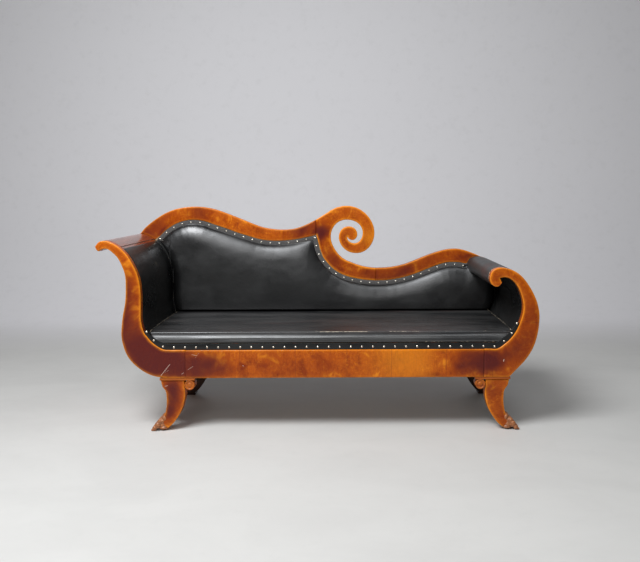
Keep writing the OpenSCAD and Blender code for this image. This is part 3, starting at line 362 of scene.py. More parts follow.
class Graph:
    """A material whose nodes are added one call at a time."""

    def __init__(self, name):
        self.material = bpy.data.materials.new(name)
        self.material.use_nodes = True
        self.tree = self.material.node_tree
        self.tree.nodes.clear()
        self.output = self.tree.nodes.new("ShaderNodeOutputMaterial")

    def add(self, kind, out=0, ins=None, **settings):
        """Adds a node, with its inputs linked to fields or set to values."""
        node = self.tree.nodes.new("ShaderNode" + kind)
        for key, value in settings.items():
            setattr(node, key, value)
        for key, value in (ins or {}).items():
            if isinstance(value, Field):
                self.tree.links.new(value.socket, node.inputs[key])
            else:
                node.inputs[key].default_value = value
        return Field(self, node.outputs[out])

    def place(self):
        return self.add("TexCoord", "Object")

    def value(self, name):
        return self.add("Attribute", "Fac", attribute_name=name)

    def parts(self, vector, axes):
        return [self.add("SeparateXYZ", axis, {0: vector}) for axis in axes]

    def scaled(self, vector, scale, offset=(0, 0, 0)):
        return self.add("Mapping", 0, {"Vector": vector, "Scale": scale, "Location": offset})

    def noise(self, vector, scale, detail=4, rough=0.55, distortion=0.0):
        return self.add("TexNoise", "Fac", {
            "Vector": vector, "Scale": scale, "Detail": detail, "Roughness": rough,
            "Distortion": distortion})

    def math(self, operation, a, b=0.0):
        return self.add("Math", 0, {0: a, 1: b}, operation=operation)

    def most(self, fields):
        """The largest of some fields at each place."""
        found = fields[0]
        for field in fields[1:]:
            found = self.math("MAXIMUM", found, field)
        return found

    def between(self, value, low, high, to_low=0.0, to_high=1.0):
        """Smooth step from to_low to to_high as the value goes from low to high."""
        return self.add("MapRange", 0, {
            "Value": value, "From Min": low, "From Max": high, "To Min": to_low,
            "To Max": to_high}, interpolation_type="SMOOTHSTEP")

    def mix(self, share, a, b):
        a, b = ((*c, 1) if isinstance(c, tuple) else c for c in (a, b))
        return self.add("Mix", 2, {0: share, 6: a, 7: b}, data_type="RGBA")

    def tint(self, color, other, value, low, high, share=1.0):
        """The colour, turned by a share to another as the value goes from low to high."""
        return self.mix(self.between(value, low, high, 0.0, share), color, other)

    def bump(self, height, distance, strength=1.0, normal=None):
        ins = {"Height": height, "Distance": distance, "Strength": strength}
        if normal is not None:
            ins["Normal"] = normal
        return self.add("Bump", 0, ins)

    def shade(self, color, rough, normal, **sockets):
        """The finished material. Its uniform values are set on the shader's own sockets."""
        ins = {"Base Color": color, "Roughness": rough, "Normal": normal, **sockets}
        shader = self.add("BsdfPrincipled", 0, ins)
        self.tree.links.new(shader.socket, self.output.inputs["Surface"])
        return self.material


AMBER = (0.46, 0.088, 0.005)
BRIGHT = (0.85, 0.270, 0.014)
RUSSET = (0.20, 0.023, 0.003)
MAROON = (0.094, 0.0135, 0.0115)
BARE_WOOD = (0.78, 0.60, 0.38)
SCRATCHED = (0.72, 0.55, 0.45)


def veneer(name, seams=(), shift=0.0, rich=0.0, marked=False, rubbed=0.8):
    """Birch veneer laid across the band: u runs along the band and v across it, in metres."""
    g = Graph(name)
    uv = g.add("UVMap", uv_map="grain")

    def waves(along, across, detail, rough, distortion=0.0, offset=(0, 0, 0)):
        scaled = g.scaled(uv, (along, across, 1), offset)
        return g.noise(scaled, 1.0, detail, rough, distortion)

    cloud = waves(6, 9, 3, 0.5, 0.8, (shift, 0, 0))
    flame = waves(19, 12, 5, 0.55, 1.4, (shift, 3, 0))
    fine = waves(330, 26, 4, 0.65, 0.4, (shift, 0, 0))
    curl = waves(60, 150, 4, 0.6, 1.0, (shift, 5, 0))
    vein = waves(70, 34, 5, 0.7, 1.8, (shift, 9, 0))
    figure = cloud * 0.55 + flame * 0.45
    color = g.tint(AMBER, RUSSET, figure, 0.47, 0.71)
    color = g.tint(color, RUSSET, vein, 0.50, 0.68, 0.42)
    color = g.tint(color, BRIGHT, vein, 0.46, 0.32, 0.35)
    color = g.tint(color, BRIGHT, figure, 0.47, 0.34, 0.9)
    # Dark and bright places that the mesh marks
    tone = g.value("tone")
    wander = (cloud - 0.5) * 0.9
    color = g.tint(color, RUSSET, tone + wander * tone, 0.05, 0.75, 0.6)
    color = g.tint(color, MAROON, tone + wander, 0.40, 1.0)
    color = g.tint(color, BRIGHT, tone, 0.0, -0.6, 0.7)
    if rich:
        color = g.mix(rich, color, MAROON)
    color = g.tint(color, RUSSET, fine, 0.35, 0.75, 0.28)
    light = g.between(curl, 0.52, 0.36) * g.between(tone, 0.35, 0.0, 0.0, 0.16)
    color = g.mix(light, color, BRIGHT)
    # Edges lighter where the polish is thin and rubbed, and partly a painted highlight where the
    # rounded edges catch light; and chips
    edge = g.value("edge")
    rub = waves(26, 40, 4, 0.7)
    color = g.tint(color, BRIGHT, edge - rub * 0.012, 0.008, -0.006, 0.5 * rubbed)
    color = g.tint(color, BRIGHT, edge - rub * 0.008, 0.001, -0.003, 0.8 * rubbed)
    chip = g.between(waves(60, 90, 5, 0.75), 0.68, 0.74) * g.between(edge, 0.004, 0.0005)
    color = g.mix(chip * 0.8, color, BARE_WOOD)
    # Seams between the leaves of veneer, pores and scratches
    if seams:
        u, = g.parts(uv, "X")
        cuts = [g.between(abs(u - at), 0.0016, 0.0006) for at in seams]
        color = g.mix(g.most(cuts) * 0.35, color, MAROON)
    color = g.tint(color, MAROON, waves(900, 90, 2, 0.7), 0.64, 0.74, 0.4)
    if marked:
        marks = scored(g) * (g.noise(g.place(), 220.0, 3, 0.7) + 0.45)
        color = g.tint(color, SCRATCHED, marks, 0.42, 0.62, 0.85)
    rough = g.between(waves(14, 14, 4, 0.6), 0.3, 0.75, 0.24, 0.42)
    uneven = g.bump(waves(22, 9, 2, 0.4), 0.0012, 0.5)
    return g.shade(color, rough, g.bump(fine - chip * 2.0, 0.0002, 0.5, uneven), **{
        "Specular IOR Level": 0.14, "Coat Weight": 0.07, "Coat Roughness": 0.12})


def plain_wood(name, light, dark, axis=0, rough=0.55, coat=0.0):
    """Solid wood with its grain along one axis of the object."""
    g = Graph(name)
    scale = [60.0, 60.0, 60.0]
    scale[axis] = 3.0
    grain = g.noise(g.scaled(g.place(), scale), 1.0, 5, 0.6, 0.8)
    color = g.tint(light, dark, grain, 0.35, 0.7)
    color = g.tint(color, dark, g.noise(g.place(), 4.0, 2), 0.4, 0.7, 0.4)
    return g.shade(color, rough, g.bump(grain, 0.0005, 0.5), **{
        "Specular IOR Level": 0.3, "Coat Weight": coat, "Coat Roughness": 0.2})


def leather(name, light=1.0, rough=(0.24, 0.46), stretch=(1, 1, 1), crease=0.0, red=0.0,
            gloss=0.38):
    """Old black leather: fine grain, cloudy gloss, and pale scuffs where the mesh says worn."""
    g = Graph(name)
    place = g.place()
    drawn = g.scaled(place, stretch)
    cloud = g.noise(drawn, 5.0, 4, 0.6, 0.4)
    dust = g.noise(place, 38.0, 5, 0.7)
    black = (0.0055 * light, 0.0058 * light, 0.0062 * light)
    grey = (0.015 * light, 0.015 * light, 0.0145 * light)
    color = g.tint(black, grey, cloud, 0.35, 0.7)
    if red:
        patch = g.noise(g.scaled(place, stretch, (3, 1, 2)), 3.0, 3)
        color = g.tint(color, (0.085, 0.022, 0.014), patch, 0.55, 0.75, red)
    scuff = g.noise(drawn, 120.0, 4, 0.8)
    color = g.tint(color, (0.16, 0.15, 0.14), scuff, 0.66, 0.72, 0.1 * light)
    broken = g.noise(g.scaled(place, (85, 160, 160)), 1.0, 5, 0.8)
    pale = g.between(g.value("worn") + (broken - 0.5) * 2.2, 0.62, 0.82)
    color = g.mix(pale, color, (0.50, 0.42, 0.31))
    roughness = g.between(cloud + dust * 0.12, 0.36, 0.76, *rough)
    roughness = roughness - g.value("shine") * 0.1 + pale * 0.3
    folds = g.bump(g.noise(drawn, 26.0, 5, 0.62, 0.5), 0.0016 + 0.003 * crease, 0.35)
    grain = g.add("TexVoronoi", "Distance", {"Vector": place, "Scale": 620.0})
    return g.shade(color, roughness, g.bump(grain, 0.00022, 0.35, folds), **{
        "Specular IOR Level": gloss, "Coat Weight": 0.10, "Coat Roughness": 0.25})


def cloth(name, light, dark, thread, rough=0.9):
    """A plain weave of threads, on the object's own axes."""
    g = Graph(name)
    place = g.place()
    warp, weft, side = (
        g.add("TexWave", "Fac", {"Vector": place, "Scale": 0.31 / thread, "Distortion": 0.6,
                                 "Detail": 1.0, "Detail Scale": 8.0}, bands_direction=axis)
        for axis in "XZY")
    weave = warp * (weft + 0.4) * (side + 0.4)
    color = g.tint(dark, light, weave, 0.1, 0.9)
    color = g.tint(color, dark, g.noise(place, 9.0, 4), 0.4, 0.7, 0.35)
    return g.shade(color, rough, g.bump(weave, thread * 0.4, 0.6), **{"Sheen Weight": 0.2})


def webbing(name, axis):
    """Strong linen straps with dark stripes along them."""
    g = Graph(name)
    place = g.place()
    across, = g.parts(place, axis)
    stripe = g.math("SINE", across * 420.0)
    twill = g.add("TexWave", "Fac", {"Vector": place, "Scale": 240.0, "Distortion": 0.4},
                  bands_direction="DIAGONAL")
    color = g.tint((0.52, 0.43, 0.29), (0.12, 0.09, 0.07), stripe, 0.2, 0.6, 0.7)
    color = g.mix(twill * 0.4, color, (0.20, 0.15, 0.09))
    return g.shade(color, 0.9, g.bump(twill, 0.0006, 0.6))


def metal(name, color, dark, rough=(0.22, 0.5)):
    g = Graph(name)
    tarnish = g.noise(g.place(), 140.0, 4, 0.7)
    color = g.tint(color, dark, tarnish, 0.45, 0.75)
    roughness = g.between(tarnish, 0.3, 0.8, *rough)
    return g.shade(color, roughness, g.bump(tarnish, 0.0003, 0.3), Metallic=1.0)


def carved_wood(name):
    """Carved feet: painted shade in the hollows and a painted highlight on the ridges."""
    g = Graph(name)
    grain = g.noise(g.scaled(g.place(), (60, 200, 200)), 1.0, 5, 0.65, 0.6)
    color = g.tint((0.44, 0.165, 0.055), (0.17, 0.050, 0.018), grain, 0.35, 0.7)
    bent = g.add("NewGeometry", "Pointiness")
    # Painted shade in the hollows and painted highlight on the ridges, by how sharply the surface
    # bends
    color = g.tint(color, (0.035, 0.014, 0.009), bent, 0.50, 0.44, 0.8)
    color = g.tint(color, (0.60, 0.36, 0.20), bent, 0.52, 0.58, 0.6)
    return g.shade(color, 0.42, g.bump(grain, 0.0004, 0.5), **{"Coat Weight": 0.1})


def studio_floor(name):
    """Pale painted floor and backdrop, slightly mottled near the camera, with painted light
    making the backdrop and the far floor brighter.
    """
    g = Graph(name)
    place = g.place()
    cloud = g.noise(g.scaled(place, (1, 1.6, 1)), 1.7, 5, 0.6, 0.5)
    spot = g.noise(place, 14.0, 5, 0.7)
    color = g.tint((0.626, 0.618, 0.592), (0.586, 0.578, 0.554), cloud, 0.3, 0.75)
    # Painted light: lighter higher up the backdrop and further back on the floor
    y, z = g.parts(place, "YZ")
    far = g.math("MAXIMUM", y * 0.2 - 0.24, 0.0)
    color = g.tint(color, (0.915, 0.900, 0.912), z + far, 0.0, 0.30)
    color = g.tint(color, (0.40, 0.39, 0.37), spot, 0.5, 0.72, 0.06)
    return g.shade(color, 0.62, g.bump(spot, 0.0005, 0.2))


# Veneered boards of the front and rear frames

# Each scratch: its two ends in x and z, its width and its strength
SCRATCHES = [
    ((-0.690, 0.245), (-0.645, 0.300), 0.0022, 1.0),
    ((-0.672, 0.262), (-0.650, 0.272), 0.0014, 0.58),
    ((-0.555, 0.341), (-0.525, 0.334), 0.0018, 0.66),
    ((-0.540, 0.322), (-0.518, 0.350), 0.0014, 0.56),
    ((-0.572, 0.272), (-0.544, 0.290), 0.0018, 0.68),
    ((-0.600, 0.252), (-0.585, 0.262), 0.0018, 0.8),
    ((0.797, 0.302), (0.800, 0.316), 0.0042, 1.3),
    ((-0.676, 0.197), (-0.658, 0.204), 0.0022, 0.9),
    ((-0.680, 0.185), (-0.668, 0.178), 0.0018, 0.9),
    ((-0.335, 0.292), (-0.325, 0.288), 0.0022, 0.9),
]
# Each dark spot of the veneer: x, z, radius and strength, below 0 where it is bright
DARK_SPOTS = [
    (-0.65, 0.30, 0.12, 0.95), (-0.78, 0.33, 0.12, 0.5), (-0.50, 0.295, 0.07, 0.75),
    (-0.40, 0.29, 0.07, 0.6), (-0.85, 0.44, 0.115, 0.60), (-0.86, 0.57, 0.105, 0.62),
    (-0.84, 0.68, 0.09, 0.55), (0.75, 0.30, 0.09, 0.75), (0.87, 0.35, 0.07, 0.42),
    (0.92, 0.44, 0.09, 0.4), (0.93, 0.55, 0.07, 0.35), (-0.20, 0.31, 0.09, 0.45),
    (0.02, 0.27, 0.08, 0.4), (0.38, 0.33, 0.16, -0.45), (-0.34, 0.33, 0.06, -0.2),
    (0.63, 0.295, 0.09, 0.7), (0.97, 0.50, 0.05, 0.3),
]
CREST_SPOTS = [
    (-0.86, 0.86, 0.12, 0.8), (-0.62, 0.95, 0.10, 0.55), (-0.16, 0.855, 0.08, 0.5),
    (0.25, 0.80, 0.06, -0.5), (0.000, 0.84, 0.055, 0.8), (-0.09, 0.85, 0.07, 0.4),
    (0.03, 0.70, 0.09, 0.6), (0.14, 0.94, 0.05, 0.3), (0.25, 0.62, 0.12, 0.55),
    (0.42, 0.63, 0.10, 0.6), (0.56, 0.70, 0.10, 0.5), (0.74, 0.70, 0.07, 0.6),
    (0.16, 0.70, 0.04, 0.35),
]
LEG_SPOTS = {
    "left": [(-0.645, 0.20, 0.05, 0.8), (-0.65, 0.13, 0.05, 0.8), (-0.66, 0.07, 0.04, 0.6)],
    "right": [(0.745, 0.185, 0.045, 0.65), (0.79, 0.11, 0.04, 0.25), (0.81, 0.06, 0.03, 0.4)],
}


def scored(g):
    """Long scratches and chips on the front."""
    x, y, z = g.parts(g.place(), "XYZ")
    lines = []
    for (x0, z0), (x1, z1), width, strength in SCRATCHES:
        length = math.hypot(x1 - x0, z1 - z0)
        ux, uz = (x1 - x0) / length, (z1 - z0) / length
        dx, dz = x - (x0 + x1) / 2, z - (z0 + z1) / 2
        lines.append(g.between(abs(dx * uz - dz * ux), width / 2, width / 5, 0, strength)
                     * g.between(abs(dx * ux + dz * uz), length / 2, length / 2 - 0.004))
    return g.most(lines) * g.between(y, -0.31, -0.32)


def toned(obj, spots, base=0.0):
    """Marks the mesh with how dark its veneer is."""
    co = np.array([v.co for v in obj.data.vertices])
    tone = np.full(len(co), base)
    for x, z, radius, strength in spots:
        away = np.hypot(co[:, 0] - x, co[:, 2] - z) / radius
        tone += strength * np.exp(-away ** 2)
    mark(obj.data, "tone", tone)
    return obj


def veneered(node, edges, y0, y1, spots, base=0.0, radius=BAND_ROUND, **look):
    """A veneered board between two edges, in place of a CAD node."""
    board = toned(band(node + "_board", *edges, y0, y1, radius), spots, base)
    return finish_piece(board, veneer(node + "_veneer", **look), node)


# Tips of the front posts' scrolls, as shares of a post's width and of its height over the rail
LEFT_TIP = (0.0, 0.958)
RIGHT_TIP = (0.289, 0.87)


def post_edges(node, joint, tip):
    """Outer and inner edge of a front post, from the rail joint to the scroll's tip."""
    low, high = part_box(node)
    tip = (low.x + tip[0] * (high.x - low.x), RAIL_LOW + tip[1] * (high.z - RAIL_LOW))
    return two_edges(face_loop(node), (joint, RAIL_LOW), (joint, RAIL_TOP), tip)


def make_frames():
    """Rails and posts, the rear ones darker."""
    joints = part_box("front_left_post")[1].x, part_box("front_right_post")[0].x
    rail = [np.array([(x, z) for x in joints]) for z in (RAIL_LOW, RAIL_TOP)]
    left = post_edges("front_left_post", joints[0], LEFT_TIP)
    right = post_edges("front_right_post", joints[1], RIGHT_TIP)
    # The last value of each row is how much the edges are lightened, by wear and by a painted
    # highlight
    for node, edges, seams, shift, rubbed in (
        ("front_rail", rail, (0.235, 0.476, 0.70, 0.893, 1.13), 0.0, 0.4),
        ("front_left_post", left, (0.02, 0.33, 0.62), 7.0, 0.8),
        ("front_right_post", right, (0.03, 0.30, 0.55), 12.0, 0.8),
    ):
        veneered(node, edges, FRONT, POST_BACK, DARK_SPOTS, seams=seams, shift=shift,
                 marked=True, rubbed=rubbed)
    veneered("rear_rail", rail, REAR_FRONT, REAR, [], 0.35,
             seams=(0.3, 0.65, 1.0), shift=3.0, rich=0.3)
    for node, edges, shift in (("rear_left_post", left, 21.0), ("rear_right_post", right, 27.0)):
        veneered(node, edges, REAR_FRONT, REAR, DARK_SPOTS, 0.3, shift=shift, rich=0.2)


def make_crest():
    """Three boards of the back's crest, joined at the fork and right of the volute."""
    left, volute, right = (face_loop("crest_" + part) for part in ("left", "volute", "right"))
    joints = []
    for x in (corner.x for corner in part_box("crest_volute")):
        z = volute[np.abs(volute[:, 0] - x) < 0.0005][:, 1]
        joints.append(((x, z.max()), (x, z.min())))
    fork, joint = joints
    # The last value of each row is how much the edges are lightened, by wear and by a painted
    # highlight
    for node, loop, ends, tip, seams, shift, rubbed in (
        ("crest_left", left, fork, left[left[:, 0].argmin()], (0.17, 0.41, 0.67), 31.0, 0.6),
        ("crest_volute", volute, joint, VOLUTE_CENTRE, (0.13, 0.30), 38.0, 1.5),
        ("crest_right", right, joint, right[right[:, 0].argmax()], (0.15, 0.31), 45.0, 0.7),
    ):
        board = veneered(node, two_edges(loop, *ends, tip), REAR_FRONT, REAR, CREST_SPOTS,
                         seams=seams, shift=shift, rubbed=rubbed)
        # No rubbed edge, with its painted highlight, across the joint at the fork
        edge = board.data.attributes["edge"].data
        for v in board.data.vertices:
            if abs(v.co.x - fork[0][0]) < 0.012 and v.co.y < REAR_FRONT + 0.01:
                inner = min(fork[0][1] - v.co.z, v.co.z - fork[1][1])
                edge[v.index].value = max(edge[v.index].value, min(inner, 0.02))


def crisp(node, material, width=0.0012):
    """Merges a CAD node's facets, eases its edges and gives it a material."""
    modifiers = NODES[node].modifiers
    modifiers.new("weld", "WELD").merge_threshold = 0.00002
    merge = modifiers.new("merge", "DECIMATE")
    merge.decimate_type = "DISSOLVE"
    merge.angle_limit = math.radians(2)
    bevel = modifiers.new("ease", "BEVEL")
    bevel.width = width
    bevel.segments = 2
    bevel.limit_method = "ANGLE"
    bevel.angle_limit = math.radians(35)
    dress(NODES[node], material)


def make_hidden_wood():
    """The frame inside, with its dowels and screws."""
    along, across, upright = (
        plain_wood("frame_wood_" + way, (0.42, 0.27, 0.13), (0.22, 0.12, 0.05), axis)
        for axis, way in enumerate(("along", "across", "upright")))
    for side in ("left", "right"):
        for part in ("_side_rail", "_scroll_rail", "_arm_rail"):
            crisp(side + part, across)
        crisp("back_upright_" + side, upright)
        for end in ("front_", "rear_"):
            crisp(end + side + "_corner_block", upright)
    for part in ("left", "middle", "right"):
        crisp("seat_crossbar_" + part, across)
    crisp("back_bottom_rail", along)
    pin = plain_wood("dowel_wood", (0.50, 0.33, 0.17), (0.30, 0.18, 0.08), 2, 0.6)
    for node in ("leg_dowels", "rail_pegs", "crest_dowels"):
        dress(NODES[node], pin)
    screws = metal("old_screws", (0.35, 0.32, 0.28), (0.10, 0.07, 0.05))
    dress(NODES["corner_block_screws"], screws)


# Legs and paws

LEG_TOP = RAIL_LOW - 0.009  # under the plate


def make_legs():
    """Veneered front legs with plates, roundels and paws, and plain rear legs."""
    trim = plain_wood("plate_wood", (0.47, 0.125, 0.011), (0.24, 0.042, 0.006), 0, 0.42, 0.03)
    stained = plain_wood("stained_wood", (0.085, 0.034, 0.016), (0.030, 0.012, 0.007), 2, 0.5)
    carved = carved_wood("carved_wood")
    # The last value of each row is how much the edges are lightened, by wear and by a painted
    # highlight
    for side, way, rubbed in (("left", -1, 0.5), ("right", 1, 0.8)):
        node = "front_%s_leg" % side
        loop = face_loop(node)
        top = loop[np.abs(loop[:, 1] - LEG_TOP) < 0.001]
        order, reach = way * top[:, 0], way * loop[:, 0]
        toe = loop[reach > reach.max() - 0.001][0]
        heel = loop[loop[:, 1].argmin()]
        edges = two_edges(loop, top[order.argmax()], top[order.argmin()], toe, heel)
        low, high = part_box(node)
        veneered(node, edges, low.y, high.y, LEG_SPOTS[side], radius=0.0035,
                 shift=51.0 + way, rich=0.1, marked=side == "left", rubbed=rubbed)
        crisp("front_%s_leg_plate" % side, trim, 0.0022)
        crisp("front_%s_roundel" % side, trim, 0.0015)
        crisp("rear_%s_leg" % side, stained, 0.003)
        make_paw(side, way, carved)


# Rounded forms of a paw: places forward, across and up, then radii. First the pad and ankle,
# then each toe's knuckle, middle, tip and claw.
PAW_FORMS = [
    (0.026, 0.0, 0.013, 0.026, 0.025, 0.013), (0.030, 0.0, 0.024, 0.026, 0.023, 0.018),
    (0.031, 0.0, 0.040, 0.017, 0.0235, 0.019), (0.020, 0.0, 0.055, 0.015, 0.023, 0.019),
]
for w in (-0.0210, -0.0070, 0.0070, 0.0210):
    PAW_FORMS += [
        (0.040, w * 0.9, 0.040, 0.0100, 0.0058, 0.013), (0.050, w, 0.025, 0.013, 0.0068, 0.014),
        (0.0625, w * 1.06, 0.0125, 0.0100, 0.0062, 0.0122),
        (0.0725, w * 1.10, 0.0052, 0.0056, 0.0030, 0.0052),
    ]
PAW_WIDER = 1.3
PAW_VOXEL = 0.0013


def make_paw(side, way, material):
    """A carved paw: pad, four toes with claws, and a tuft at the ankle, joined and smoothed."""
    node = "front_%s_paw" % side
    low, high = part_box(node)
    heel = high.x if way < 0 else low.x
    bm = bmesh.new()
    for u, w, z, ru, rw, rz in PAW_FORMS:
        for v in bmesh.ops.create_icosphere(bm, subdivisions=3, radius=1.0)["verts"]:
            v.co = Vector((heel + way * (u + ru * v.co.x),
                           (low.y + high.y) / 2 + PAW_WIDER * (w + rw * v.co.y),
                           max(z + rz * v.co.z, 0.0002)))
    mesh = bpy.data.meshes.new(node + "_carving")
    bm.to_mesh(mesh)
    bm.free()
    paw = linked(node + "_carving", mesh)
    remesh = paw.modifiers.new("join", "REMESH")
    remesh.mode = "VOXEL"
    remesh.voxel_size = PAW_VOXEL
    paw.modifiers.new("smooth", "SMOOTH").iterations = 3
    graph = bpy.context.evaluated_depsgraph_get()
    mesh = bpy.data.meshes.new_from_object(paw.evaluated_get(graph))
    paw.modifiers.clear()
    paw.data = mesh
    co, out = np.zeros((2, len(mesh.vertices) * 3))
    mesh.vertices.foreach_get("co", co)
    mesh.vertices.foreach_get("normal", out)
    co, out = co.reshape(-1, 3), out.reshape(-1, 3)
    co = co + out * (0.0006 * wrinkle(*co.T, (0.012, 0.004, 0.012), 3.0))[:, None]
    co[:, 2] = np.maximum(co[:, 2], 0.0)
    mesh.vertices.foreach_set("co", co.ravel())
    mesh.shade_smooth()
    finish_piece(paw, material, node)


# Leather and stuffing

def heights(outline, xs):
    """Lowest and highest z of a closed outline at each x."""
    ahead = np.roll(outline, -1, axis=0)
    found = []
    for x in xs:
        cut = (outline[:, 0] <= x) != (ahead[:, 0] <= x)
        p, q = outline[cut], ahead[cut]
        z = p[:, 1] + (q[:, 1] - p[:, 1]) * (x - p[:, 0]) / (q[:, 0] - p[:, 0])
        found.append((z.min(), z.max()))
    return np.array(found).T


def back_pad_edges():
    """Left, right, base and top edges of the back pad's outline, from the frame."""
    loop = face_loop("back_pad", front=False)
    low = loop[loop[:, 1] < loop[:, 1].min() + 0.0005]
    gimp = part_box("back_gimp_right")[1].x
    near = loop[(np.abs(loop[:, 0] - gimp) < 0.012) & (loop[:, 1] > 0.62)]
    marks = [low[low[:, 0].argmin()], low[low[:, 0].argmax()], near[near[:, 1].argmax()],
             loop[loop[:, 0].argmin()]]
    loop = np.roll(loop, -nearest(loop, marks[0]), axis=0)
    at = [nearest(loop, p) for p in marks]
    if at[1] > at[3]:
        loop = np.concatenate([loop[:1], loop[:0:-1]])
        at = [nearest(loop, p) for p in marks]
    left = np.concatenate([loop[at[3]:], loop[:1]])[::-1]
    return left, loop[at[1]:at[2] + 1], loop[:at[1] + 1], loop[at[2]:at[3] + 1][::-1]


# How far the back pad's cover reaches round its sides, and its line under the low arm's roll
TUCK = 0.009
UNDER_ROLL = np.array([(0.856, 0.622), (0.820, 0.637), (0.785, 0.642), (0.758, 0.647),
                       (0.746, 0.660), (0.742, 0.682)])
ROLL_FOOT = 0.605  # height where the back's right side goes under the roll
FORK = (-0.037, 0.800)


def make_back_pad(material):
    """The stuffed back: full along its middle, low at the gimp and in the fork's corner."""
    left, right, base, top = back_pad_edges()
    right = right[:int(np.argmax(right[:, 1] > ROLL_FOOT))]
    sides = resampled(np.concatenate([left[::-1], base[1:], right[1:]]), 400)
    tucked = sides - normals(smoothed(sides, 6)) * TUCK
    outline = np.concatenate([tucked, UNDER_ROLL, resampled(top, 300)[::-1]])
    upper = resampled(np.concatenate([tucked[:1], top, UNDER_ROLL[::-1], tucked[-40:][::-1]]),
                      420)[:, 0]
    ends = outline[:, 0].min(), outline[:, 0].max()
    xs = np.sort(np.concatenate([upper, np.linspace(*ends, 60)]))
    xs = np.clip(xs, ends[0] + 0.0002, ends[1] - 0.0002)
    xs = xs[np.concatenate([[True], np.diff(xs) > 0.0008])]
    low, high = heights(outline, xs)
    n, m = len(xs), 72
    z = low[:, None] + (high - low)[:, None] * np.linspace(0, 1, m)[None]
    flat = np.stack([np.repeat(xs, m), z.ravel()], axis=1)
    edge_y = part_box("back_gimp_left")[1].y
    pad_low, pad_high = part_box("back_pad")
    crown = edge_y - pad_low.y + 0.008
    off_side = np.minimum(*(off_lines(flat, resampled(side, 60)) for side in (left, right)))
    off_base = off_lines(flat, base)
    off_sides = np.minimum(off_side, off_base)
    off_side = np.minimum(off_side, off_lines(flat, UNDER_ROLL) + 0.012)
    inside = off_lines(flat, resampled(tucked, 240)) > TUCK
    fork = nearest(top, FORK)
    rise = swell(off_side + 0.012, 0.06) * (0.85 + 0.15 * swell(off_base, 0.05))
    for run in (top[:fork + 1], top[fork:]):
        below = off_lines(flat, resampled(run, 110)) - 0.018
        rise = rise * (0.52 * swell(below, 0.078) + 0.48 * dome(below, 0.20))
    rise *= swell(off_sides, 0.010) * inside
    x, z = flat.T
    dents = 0.0035 * wrinkle(x, 0, z, (0.16, 1, 0.11), 5.0)
    dents += 0.0006 * wrinkle(x, 0, z, (0.05, 1, 0.035), 9.0)
    y = np.where(inside, edge_y + 0.0004 - crown * rise - rise * dents, pad_high.y - 0.0010)
    pad = closed_pad("back_pad_leather", standing(flat, y).reshape(n, m, 3),
                     standing(flat, pad_high.y).reshape(n, m, 3),
                     floats={"shine": np.full((n, m), 0.3)})
    stuffed(pad, material, "back_pad")


# The seat's section from its front foot to its back, in y and z, with the welt at its lip
SEAT_LIP_Y = -0.2905
SEAT_PROFILE = np.array([
    (-0.3165, 0.3890), (-0.3206, 0.3925), (-0.3214, 0.3975), (-0.3208, 0.4040),
    (-0.3190, 0.4105), (-0.3160, 0.4165), (-0.3118, 0.4215), (-0.3065, 0.4252), (-0.3010, 0.4276),
    (-0.2962, 0.4290), (-0.2936, 0.4300), (-0.2922, 0.4318), (-0.2905, 0.4327), (-0.2888, 0.4320),
    (-0.2872, 0.4306), (-0.2840, 0.4308), (-0.2780, 0.4320), (-0.2680, 0.4336), (-0.2500, 0.4352),
    (-0.2200, 0.4368), (-0.1700, 0.4380), (-0.1000, 0.4388), (0.0000, 0.4390), (0.1000, 0.4386),
    (0.1800, 0.4384), (0.2300, 0.4382), (0.2600, 0.4378), (0.2780, 0.4372), (0.2835, 0.4345),
    (0.2848, 0.4240),
])
SEAT_TOP = SEAT_PROFILE[12:]
# The seat's ends at some heights, and where its folds start
SEAT_END_Z = (0.3885, 0.402, 0.416, 0.430, 0.440)
SEAT_LEFT = (-0.674, -0.698, -0.716, -0.732, -0.7410)
SEAT_RIGHT = (0.774, 0.794, 0.811, 0.828, 0.8400)
FOLD_X, FOLD_Y = 0.835, -0.285
# The worn runs of the welt: their ends in x, and their strength
WORN_RUNS = ((-0.04, 0.23, 0.86), (0.28, 0.46, 0.76), (0.47, 0.78, 0.54))


